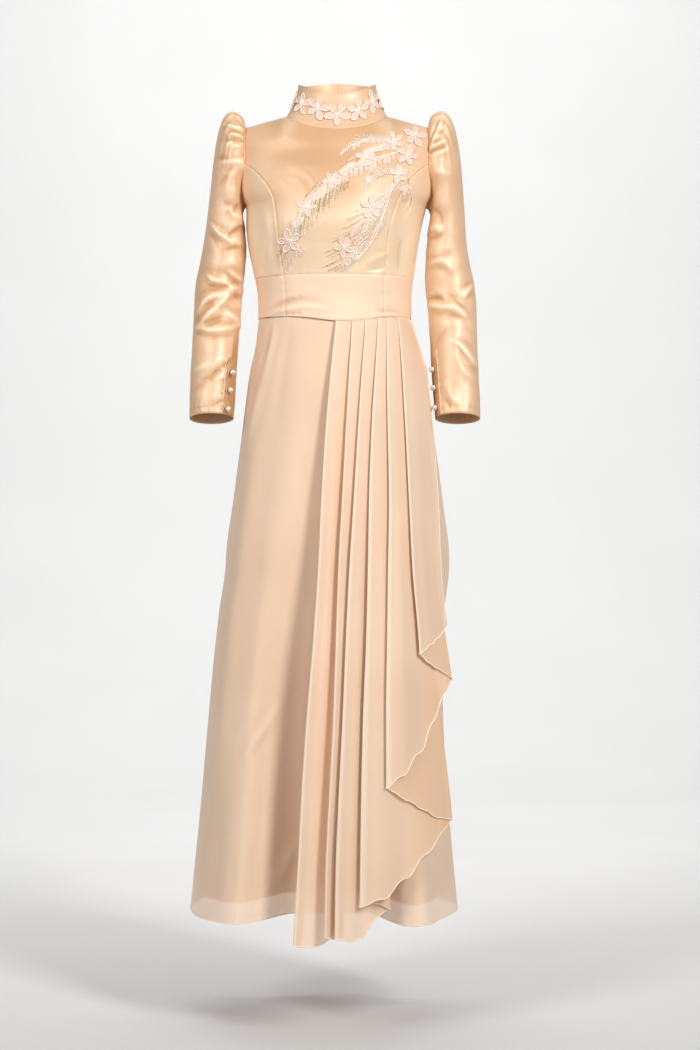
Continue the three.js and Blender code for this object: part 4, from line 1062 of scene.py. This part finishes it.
def overskirt():
    rows = np.linspace(0, 1, 170) ** 1.05

    def column(kind, k, share):
        place = drape_point(kind, k, share, np.array(float(BAND_BOTTOM)))
        angle = math.asin(min(1, max(-1, (place[0] + 4) / 132))) / RAD
        top = float(band_bottom(angle)) - SEAM
        return drape_point(kind, k, share, mix(top, cascade_hem(kind, k, share), rows))

    layers = []
    for k in range(PLEATS + 1):
        if k > 0:
            layers.append(("face", k, np.linspace(0, 1, 31 if k > 2 else 17)))
        if k < PLEATS:
            layers.append(("under", k, np.linspace(1, 0, 15 if k > 2 else 7)))
    columns, valley_shading, edges = [], [], []  # edges: a painted highlight along the outer fold of each pleat
    for n, (kind, k, shares) in enumerate(layers):
        face = float(kind == "face")
        columns += [column(kind, k, share) for share in shares]
        valley_shading += [valley_shade(kind, k, share) for share in shares]
        edges += [smooth(0.07, 0.01, share) * face for share in shares]
        if n == len(layers) - 1:
            break
        before, after = columns[-1], column(layers[n + 1][0], layers[n + 1][1], layers[n + 1][2][0])
        radius = profile(OVERSKIRT, "turn", before[:, 2]) / 2
        for turn in np.linspace(0, math.pi, 7)[1:-1]:
            point = mix(before, after, (1 - math.cos(turn)) / 2)
            point[:, 0] += (2 * face - 1) * radius * math.sin(turn)
            columns.append(point)
            valley_shading.append(face)
            edges.append(1 - face)
    points = np.stack(columns)
    valley_shading, edges = (np.array(values, float)[:, None] for values in (valley_shading, edges))
    # Painted shade in the pleats' valleys, weaker near the hem, and a painted highlight along each pleat's
    # outer fold
    open_hem = smooth(-1366, -1180, points[..., 2])
    shade = 0.9 * valley_shading * smooth(-345, -420, points[..., 2]) * (0.45 + 0.55 * open_hem)
    gleam = 0.7 * edges * np.ones((1, len(rows)))
    cloth(
        "overskirt_drape", points, CHIFFON, shade=shade, gleam=gleam, hollows=0
    )
    hem = Bunch()
    hem.tube(points[:, -1] + [0, 0, 0.5], 1.1)
    hem.tube(points[0, ::4], 0.8, 5)
    hem.tube(points[-1, ::4], 0.9, 5)
    hem.made("hem_overskirt", HEM_THREAD)


# ---------------------------------------------------------------- sleeves
def sleeve_cloth(side, word):
    quarters = ((0, 90, 51), (90, 270, 71), (270, 360, 51))
    turn = np.concatenate([np.linspace(*quarter)[:-1] for quarter in quarters])[:, None]
    s = np.concatenate([np.linspace(0, 60, 33)[:-1], np.linspace(60, SLEEVE_LENGTH, 132)])[None, :]
    points = sleeve(side, turn, s)
    run = turn * SLEEVE_ARC
    beyond = turn - placket_angle(side, s)
    pucker = 0.3 * np.sin(run / 1.9 + 2 * np.sin(run / 23)) * bell(s - CUFF_STITCHES, 5)
    seam = -0.5 * bell((turn - 172) * SLEEVE_ARC, 1.6) * smooth(10, 60, s)
    tucks = 0.7 * np.sin(s / 2.1 + 2 * np.sin(s / 17)) * bell(np.abs(beyond + 11) * SLEEVE_ARC, 5)
    tucks = tucks * smooth(PLACKET_FROM - 15, PLACKET_FROM + 10, s)
    raised = -0.6 * bell(s, 2) + pucker - 0.35 * bell(s - CUFF_STITCHES, 1.6) + seam + tucks
    points = points + outward(points, True) * raised[..., None]
    # Painted shade over the cuff's underlap, from beside the button strip round to the inner side
    underlap_shade = smooth(2, 9, beyond) * smooth(205, 180, turn)
    started = smooth(-70, 10, s - PLACKET_FROM + np.clip(beyond, 0, 40) * 1.2)
    shade = 0.8 * underlap_shade * started
    cloth(
        f"sleeve_{word}", points, SATIN, closed=True, thick=SATIN_WALL, shade=shade
    )


def armhole_welt(side, word):
    path = armhole(side, np.linspace(0, 360, 181)[:-1])
    path[:, 0] += side * SEAM
    welt = Bunch()
    welt.tube(path, 1.2, 8, closed=True)
    welt.made(f"armhole_welt_{word}", SATIN)


def cuff(side, word):
    u, v = np.linspace(-1, 1, 19)[:, None], np.linspace(0, 1, 90)[None, :]
    s = mix(PLACKET_FROM, PLACKET_TO, v) * np.ones_like(u)
    turn = placket_angle(side, s) + PLACKET_HALF_ANGLE * smooth(PLACKET_FROM - 3, PLACKET_FROM + 24, s) * u
    pucker = 0.3 * np.sin(s / 1.7 + 1.5 * np.sin(s / 9)) * bell(np.abs(u) - 0.7, 0.25)
    points = over_sleeve(side, turn, s, 1.2 + 0.4 * (1 - u**4) + pucker)
    # Painted shade over the whole button strip
    shade = 0.7 * np.ones_like(s)
    cloth(f"cuff_placket_{word}", points, SATIN, thick=PLACKET_WALL, shade=shade)
    stitches, edge = Bunch(), Bunch()
    for row in [pearl for pearl in PEARLS if pearl["side"] == side]:
        at, angle = np.array([float(row["s"])]), np.array([float(row["angle"])])
        base, top = over_sleeve(side, angle, at, 0)[0], over_sleeve(side, angle, at, 1)[0]
        normal = top - base
        centre = base + normal * (2.0 + SEAM + PEARL_RADIUS)
        ball = Bunch()
        ball.balls([centre], PEARL_RADIUS, 20, 32)
        ball.tube([centre - normal * (PEARL_RADIUS + 1.6), centre - normal * (PEARL_RADIUS - 0.8)], 1.0, 10)
        ball.made(f"pearl_{word}_{row['number']}", PEARL, [f"cuff_pearl_{word}_{row['number']}"])
        t = np.linspace(-0.8, math.pi + 0.8, 22)
        bend, along = angle - PLACKET_HALF_ANGLE * 1.1 * np.sin(t) + 1, at + 5.8 * np.cos(t)
        stitches.tube(over_sleeve(side, bend, along, 2.6 + 1.2 * np.sin(t)), 0.55)
    run = np.linspace(PLACKET_FROM - 14, PLACKET_TO + 1, 60)
    bend = placket_angle(side, run) - PLACKET_HALF_ANGLE - 1.2
    edge.tube(over_sleeve(side, bend, run, 0.9 + 0.25 * np.sin(run / 2.1 + 2 * np.sin(run / 17))), 1.1, 8)
    edge.made(f"cuff_edge_{word}", SATIN)
    for offset, lift in ((-PLACKET_HALF_ANGLE - 4.5, 0.4), (-6.5, 1.85), (6.5, 1.85)):
        for start in np.arange(PLACKET_FROM + 3, PLACKET_TO - 5, 3.6):
            span = np.linspace(start, start + 2.3, 4)
            stitches.tube(over_sleeve(side, placket_angle(side, span) + offset, span, lift), 0.28, 5)
    for start in np.arange(0, 358, 4.4):
        bend, span = np.linspace(start, start + 3, 4), np.full(4, float(CUFF_STITCHES))
        stitches.tube(over_sleeve(side, bend, span, 0.15), 0.25, 5)
    stitches.made(f"cuff_stitching_{word}", STITCH)


# ---------------------------------------------------------------- applique
def bodice_map():
    """Places and normals of the finished bodice front on an even grid of the front view."""
    x = np.linspace(*MAP_X, MAP_COLUMNS)[:, None]
    z = np.linspace(*MAP_Z, MAP_ROWS)[None, :]
    sine = (x - profile(TORSO, "middle", z)) / profile(TORSO, "half", z)
    angle = np.arcsin(np.clip(sine, -0.995, 0.995)) / RAD
    across = torso(angle + 0.5, z) - torso(angle - 0.5, z)
    down = torso(angle, z - 1) - torso(angle, z + 1)
    normal = unit(np.cross(down, across))
    return torso(angle, z) + normal * torso_relief(angle, z)[..., None], normal


BODICE_PLACES, BODICE_NORMALS = bodice_map()


def on_bodice(x, z, lift):
    """A point over the bodice, by place in the front view."""
    x, z, lift = spread_over(x, z, lift)
    i = (x - MAP_X[0]) / (MAP_X[1] - MAP_X[0]) * (MAP_COLUMNS - 1)
    j = (z - MAP_Z[0]) / (MAP_Z[1] - MAP_Z[0]) * (MAP_ROWS - 1)
    i, j = np.clip(i, 0, MAP_COLUMNS - 1.001), np.clip(j, 0, MAP_ROWS - 1.001)
    i0, j0 = i.astype(int), j.astype(int)
    s, t = (i - i0)[..., None], (j - j0)[..., None]

    def at(grid):
        low = mix(grid[i0, j0], grid[i0 + 1, j0], s)
        return mix(low, mix(grid[i0, j0 + 1], grid[i0 + 1, j0 + 1], s), t)

    return at(BODICE_PLACES) + at(BODICE_NORMALS) * lift[..., None]


def on_collar(angle0, height0):
    def spot(right, up, lift):
        angle = angle0 + np.asarray(right, float) / COLLAR_RADIUS / RAD
        height = height0 + np.asarray(up, float) / COLLAR_RISE
        across = collar(angle + 1, height) - collar(angle - 1, height)
        down = collar(angle, height - 0.03) - collar(angle, height + 0.03)
        return collar(angle, height) + unit(np.cross(down, across)) * np.asarray(lift, float)[..., None]

    return spot


def petal(spot, base, way, length, width, fills, cords, cord, sides, vein=False):
    """A cupped, pointed petal with a corded edge, from its base along a direction (both right, up)."""
    side = np.array([-way[1], way[0]])
    around = np.linspace(0, 2 * math.pi, sides, endpoint=False)
    along = 0.5 - 0.5 * np.cos(around)
    half = width / 2 * np.sin(around) * (0.35 + 1.3 * along) * (1 - 0.7 * along**3)
    rings = []
    for share, lift in ((1.0, 1.15), (0.7, 1.35), (0.4, 1.5), (0.1, 1.55)):
        reach = length * (0.5 + (along - 0.5) * share)
        place = base + reach[:, None] * way + (half * share)[:, None] * side
        rings.append(spot(*place.T, np.full(sides, lift)))
    i = np.arange(sides)
    k = (i + 1) % sides
    walls = [np.stack([r + i, r + k, r + sides + k, r + sides + i], -1) for r in sides * np.arange(3)]
    fills.add(np.concatenate(rings), [np.concatenate(walls), (3 * sides + i)[None]])
    edge = base + (length * along)[:, None] * way + half[:, None] * side
    cords.tube(spot(*edge.T, np.full(sides, 1.75)), cord, closed=True)
    if vein:
        line = base + np.linspace(0.12, 0.6, 5)[:, None] * length * way
        cords.tube(spot(*line.T, np.full(5, 1.75)), cord * 0.5, 5, taper=True)


def flower(spot, radius, turn, fills, cords, beads, phase):
    """Five petals with a beaded middle; spot maps (right, up, lift) to a point."""
    for k in range(5):
        lean = turn * RAD + k * 2 * math.pi / 5 + 0.07 * math.sin(5 * k + phase)
        reach = radius * (1 + 0.07 * math.sin(3 * k + phase))
        way = np.array([math.cos(lean), math.sin(lean)])
        petal(spot, 0.1 * radius * way, way, reach * 0.98, reach * 0.54, fills, cords, 0.95, 28, vein=True)
    angle = np.arange(6) * math.pi / 3 + phase
    size = np.where(np.arange(6) == 5, 0, 1.9)
    beads.balls(spot(size * np.cos(angle), size * np.sin(angle), np.full(6, 3.0)), 1.05, 6, 8)


STEMS = {  # main lines of the embroidery, in the front view (mm)
    "upper": ((112, -64), (84, -80), (42, -99), (2, -121), (-36, -149), (-64, -184), (-82, -226)),
    "edging": ((104, -68), (72, -79), (32, -92), (0, -107), (-32, -128), (-52, -150)),
    "sprig": ((106, -60), (80, -50), (52, -50), (26, -61), (6, -78)),
    "twig": ((100, -66), (70, -64), (44, -72), (18, -88)),
    "leaf": ((108, -76), (98, -98), (74, -112), (50, -116)),
    "thorn": ((66, -98), (52, -112), (46, -140)),
    "blade": ((110, -100), (82, -104), (58, -118), (42, -144)),
    "lower": ((112, -108), (90, -138), (80, -170), (68, -204), (52, -231), (32, -254)),
    "twin": ((110, -111), (87, -141), (77, -172), (65, -205), (49, -231), (30, -253)),
    "inner": ((88, -130), (68, -152), (57, -182), (44, -212), (29, -240), (10, -267)),
    "hook": ((118, -112), (124, -136), (116, -160), (106, -172)),
}


def turned(way, degrees):
    c, s = math.cos(degrees * RAD), math.sin(degrees * RAD)
    return np.array([way[0] * c - way[1] * s, way[0] * s + way[1] * c])


def along_stem(name, spacing, span, even=True):
    """Number, share of the way, point and heading of each place along a part of a stem."""
    line = line_through(STEMS[name], 121)
    way = unit(np.gradient(line, axis=0))
    total = np.linalg.norm(np.diff(line, axis=0), axis=1).sum() * (span[1] - span[0])
    count = max(2, int(total / spacing))
    for n in range(count):
        share = (n + 0.5) / count if even else (n + 0.5) * spacing / total
        i = int(mix(*span, share) * 120)
        yield n, share, line[i], way[i]


class Embroidery:
    """The threads, beads and petals of the bodice."""

    def __init__(self):
        self.fills, self.cords, self.beads, self.golds = Bunch(), Bunch(), Bunch(), Bunch()

    def strand(self, start, way, bend, length, kind):
        """One curved strand of cord, round beads or gold bugles; it stops at the edge of the panel."""
        t = np.linspace(0, 1, max(4, int(length / 2.2)))[:, None]
        path = start + (way * t + bend * t * t) * length
        keep = (np.abs(path[:, 0] - 2) < 144) & (path[:, 1] > BAND_TOP + 3)
        path = path[: int(np.argmin(keep)) if not keep.all() else len(path)]
        if len(path) < 3:
            return
        x, z = path.T
        if kind == "cord":
            self.cords.tube(on_bodice(x, z, 0.5), 0.5, 5, taper=True)
        elif kind == "bead":
            self.cords.tube(on_bodice(x, z, 0.2), 0.25, 4)
            self.beads.balls(on_bodice(x, z, 0.85), np.linspace(1, 0.8, len(path)))
        else:
            for i in range(0, len(path) - 2, 2):
                self.golds.tube(on_bodice(x[i : i + 2], z[i : i + 2], 0.8), 0.62)
                self.golds.balls(on_bodice(x[i + 2], z[i + 2], 0.8), 0.7)

    def barbs(self, name, side, spacing, length, lean, kinds, span=(0, 1), curl=0.3, swell=1.0):
        """Strands that leave one side of a stem, longest in the middle of their span."""
        for n, share, place, way in along_stem(name, spacing, span):
            grown = (1 - swell) + swell * math.sin(math.pi * min(1, share * 0.86 + 0.1))
            reach = length * grown * (1 + 0.12 * math.sin(n * 2.4 + lean))
            angle = side * (lean + 5 * math.sin(n * 1.7 + length))
            start = place + turned(way, side * 90) * 0.8
            self.strand(start, turned(way, angle), way * curl, reach, kinds[n % len(kinds)])

    def plume(self, name, spacing, span, kinds, reaches, first=-128, last=-158):
        """Long strands that sweep off a stem, each turning from one heading to another (degrees)."""
        begin, end = turned((1, 0), first), turned((1, 0), last)
        for n, share, place, _ in along_stem(name, spacing, span):
            reach = float(np.interp(share, (0, 0.5, 1), reaches)) * (1 + 0.1 * math.sin(n * 2.4))
            self.strand(place, begin, (end - begin) / 2, reach, kinds[n % len(kinds)])

    def lobes(self, name, side, spacing, length, width, lean, span):
        """Small petals with corded edges along a stem."""
        for n, _, place, way in along_stem(name, spacing, span, even=False):
            grown = 1 + 0.16 * math.sin(n * 2.1 + length)
            out = turned(way, side * (lean + 9 * math.sin(n * 1.3)))
            self.lobe(place + out * 1.2, out, length * grown, width * grown)

    def lobe(self, base, way, length, width):
        def spot(right, up, lift):
            return on_bodice(right, up, lift - 0.8)

        petal(spot, base, way, length, width, self.fills, self.cords, 0.5, 14)

    def rosette(self, x, z, radius, turn):
        for k in range(5):
            self.lobe(np.array([x, z]), turned((1, 0), turn + 72 * k), radius, radius * 0.55)
        self.beads.balls(on_bodice(x, z, 1.6), 1.1, 6, 8)


def spray(row, leaves, cords):
    """One ribbed leaf with corded edges, bowed between its two ends."""
    start, end = np.array([row["x1"], row["z1"]]), np.array([row["x2"], row["z2"]])
    middle = (start + end) / 2 + row["bow"]
    t = np.linspace(0, 1, 16)[:, None]
    spine = (1 - t) ** 2 * start + 2 * t * (1 - t) * middle + t * t * end
    way = unit(np.gradient(spine, axis=0))
    side = np.stack([-way[:, 1], way[:, 0]], -1)
    half = row["width"] / 2 * (0.25 + 0.75 * np.sin(math.pi * t))
    rows = [
        on_bodice(*(spine + side * half * u).T, 1.0 + 0.8 * (1 - u * u)) for u in (-1, -0.5, 0, 0.5, 1)
    ]
    quads = [[a, a + 1, a + 17, a + 16] for r in range(4) for a in range(r * 16, r * 16 + 15)]
    leaves.add(np.concatenate(rows), [quads])
    for u, lift in ((-1, 1.2), (0, 2.0), (1, 1.2)):
        cords.tube(on_bodice(*(spine + side * half * u).T, lift), 0.6, 5)
    for i in range(1, 15):
        for u in (-1, 1):
            rib = np.stack([spine[i - 1], spine[i] + side[i] * half[i] * u * 1.1])
            cords.tube(on_bodice(*rib.T, (2.0, 1.3)), 0.4, 4)


def numbered(name, rows):
    return [f"{name}_{n + 1}" for n in range(len(rows))]


def collar_applique():
    fills, cords, beads = Bunch(), Bunch(), Bunch()
    for n, row in enumerate(COLLAR_FLOWERS):
        flower(on_collar(row["angle"], row["height"]), row["radius"], row["turn"], fills, cords, beads, n)
    fills.made("collar_petals", PETAL, numbered("collar_flower", COLLAR_FLOWERS))
    cords.made("collar_cords", CORD)
    beads.made("collar_beads", CLEAR)


def bodice_applique():
    work = Embroidery()
    for n, row in enumerate(BODICE_FLOWERS):

        def spot(right, up, lift, row=row):
            return on_bodice(row["x"] + np.asarray(right), row["z"] + np.asarray(up), lift)

        flower(spot, row["radius"], row["turn"], work.fills, work.cords, work.beads, n + 3)
    thick = {"upper": 0.7, "edging": 0.8, "lower": 0.9, "twin": 0.7, "inner": 0.6, "sprig": 0.6}
    for name, size in thick.items():
        bunch = work.golds if name == "edging" else work.cords
        bunch.tube(on_bodice(*line_through(STEMS[name], 70).T, 0.7), size)
    for name in ("twig", "leaf", "thorn", "blade", "hook"):
        work.cords.tube(on_bodice(*line_through(STEMS[name], 40).T, 0.6), 0.6, taper=True)
    cord_bead, bead_cord = ("cord", "bead"), ("bead", "cord")
    work.lobes("upper", 1, 8.5, 11, 6, 48, (0.06, 0.86))
    work.lobes("upper", -1, 9.5, 10, 6, 44, (0.1, 0.8))
    work.barbs("upper", -1, 3.1, 10, 40, bead_cord, (0.02, 0.9))
    work.barbs("edging", 1, 2.6, 9, 30, cord_bead, (0, 0.85))
    work.plume("upper", 2.3, (0.38, 0.8), ("gold", "gold", "cord"), (26, 36, 34), -104, -92)
    work.plume("upper", 3.4, (0.44, 0.84), ("bead", "bead", "gold"), (42, 54, 50), -106, -92)
    work.plume("upper", 4.2, (0.8, 0.99), bead_cord, (66, 62, 48), -100, -88)
    work.barbs("upper", 1, 5.0, 34, 8, ("gold",), (0.93, 1.0), 0.1, 0.1)
    work.barbs("upper", -1, 5.0, 34, 14, ("gold",), (0.94, 1.0), 0.1, 0.1)
    work.barbs("sprig", -1, 2.6, 13, 34, cord_bead)
    work.barbs("sprig", 1, 2.8, 11, 34, bead_cord)
    work.lobes("sprig", 1, 9, 9, 5, 44, (0.2, 0.8))
    work.barbs("twig", 1, 2.8, 10, 32, cord_bead)
    work.lobes("twig", 1, 9, 9, 5, 40, (0.2, 0.7))
    work.barbs("leaf", 1, 2.2, 9, 40, ("gold", "cord"), (0.1, 1))
    work.barbs("leaf", -1, 2.4, 8, 40, ("cord", "gold"), (0.1, 1))
    work.barbs("thorn", -1, 2.6, 6, 36, ("cord",), (0, 0.8))
    work.barbs("blade", -1, 2.4, 9, 44, bead_cord, (0, 0.9))
    work.barbs("blade", 1, 2.6, 9, 40, cord_bead, (0, 0.9))
    work.barbs("lower", 1, 2.3, 10, 52, bead_cord, (0.0, 0.72))
    work.plume("twin", 5.2, (0.04, 0.93), ("bead", "gold", "cord", "gold"), (84, 122, 92))
    work.plume("twin", 8.0, (0.1, 0.96), cord_bead, (56, 84, 60), -122, -152)
    work.lobes("inner", 1, 8, 10, 5.5, 42, (0.05, 0.98))
    work.lobes("inner", -1, 8, 10, 5.5, 42, (0.3, 0.98))
    work.plume("hook", 7, (0.0, 0.5), ("gold", "bead"), (40, 34, 30), -80, -112)
    for x, z, radius, turn in ROSETTES:
        work.rosette(x, z, radius, turn)
    leaves = Bunch()
    for row in SPRAYS:
        spray(row, leaves, work.cords)
    leaves.made("bodice_leaves", PETAL, numbered("bodice_spray", SPRAYS))
    work.fills.made("bodice_petals", PETAL, numbered("bodice_flower", BODICE_FLOWERS))
    work.cords.made("bodice_cords", CORD)
    work.beads.made("bodice_beads", CLEAR)
    work.golds.made("bodice_gold_beads", GOLD)


# ---------------------------------------------------------------- stage
CAMERA = (22.1, -4000, -692)
MM_PER_PIXEL, IMAGE_HEIGHT, SENSOR = 1.7, 1050, 36
WALL_X, FLOOR_FROM, BEND_FROM, BEND_RADIUS, WALL_RISE = 9.0, -9.0, 3.0, 2.0, 7.0  # the backdrop, in metres


def camera():
    data = bpy.data.cameras.new("camera")
    data.sensor_fit, data.sensor_width = "AUTO", SENSOR
    data.lens = SENSOR * -CAMERA[1] / (IMAGE_HEIGHT * MM_PER_PIXEL)
    data.clip_end = 60
    obj = placed("camera", data)
    obj.location = [value * MM for value in CAMERA]
    obj.rotation_euler = (math.pi / 2, 0, 0)
    bpy.context.scene.camera = obj


def light(name, place, aim, size, power, color=(1, 1, 1), spread=180):
    data = bpy.data.lights.new(name, "AREA")
    data.shape, data.size, data.size_y = "RECTANGLE", size[0], size[1]
    data.energy, data.color, data.spread = power, color, spread * RAD
    obj = placed(name, data)
    obj.location = place
    x, y, z = np.array(aim) - np.array(place)
    obj.rotation_euler = (math.atan2(z, math.hypot(x, y)) + math.pi / 2, 0, math.atan2(y, x) - math.pi / 2)


def studio():
    look = Look("backdrop", "", {"Roughness": 0.9})
    look.color(look.noise(2, 2), (0.78,) * 3, (0.80,) * 3)
    floor = FLOOR_Z * MM
    outline = [(FLOOR_FROM, floor)]
    for t in np.linspace(0, math.pi / 2, 12):
        outline.append((BEND_FROM + BEND_RADIUS * math.sin(t), floor + BEND_RADIUS * (1 - math.cos(t))))
    outline.append((BEND_FROM + BEND_RADIUS, floor + WALL_RISE))
    count = len(outline)
    vertices = [(x / MM, y / MM, z / MM) for x in (-WALL_X, WALL_X) for y, z in outline]
    strips = [[i, i + count, i + count + 1, i + 1] for i in range(count - 1)]
    mesh_object("backdrop", vertices, [strips], look)
    middle, chest = (0, 0, -0.6), (0, 0, -0.3)
    light("key", (1.8, -2.6, 0.9), chest, (0.7, 1.5), 21.5, (1, 0.985, 0.97), 90)
    light("fill", (-2.0, -2.6, 0.8), chest, (1.1, 1.7), 14.5, (1, 0.98, 0.965), 90)
    light("top", (0.0, -1.2, 2.6), middle, (2.0, 1.6), 4, (1, 0.98, 0.95))
    light("wash", (0.0, 1.2, 2.4), (0, 5.2, 0.2), (3.6, 1.0), 150)
    world = bpy.data.worlds.new("studio")
    world.use_nodes = True
    sky = world.node_tree.nodes["Background"].inputs
    sky["Color"].default_value = (1, 0.99, 0.98, 1)
    sky["Strength"].default_value = 0.28
    bpy.context.scene.world = world
    bpy.context.scene.view_settings.view_transform = "Standard"


# ---------------------------------------------------------------- assembly
SEAM_ANGLE = float(princess_angle(BAND_TOP))
camera()
collar_strip()
front_center()
side_front(1, "bodice_side_front_left")
side_front(-1, "bodice_side_front_right")
back(1, "bodice_back_left")
back(-1, "bodice_back_right")
waistband("front", -SEAM_ANGLE, SEAM_ANGLE)
waistband("side_left", SEAM_ANGLE, 90)
waistband("side_right", -90, -SEAM_ANGLE)
waistband("back_left", 90, 180)
waistband("back_right", -180, -90)
skirts()
overskirt()
for piece in (sleeve_cloth, armhole_welt, cuff):
    piece(1, "left")
    piece(-1, "right")
collar_applique()
bodice_applique()
studio()
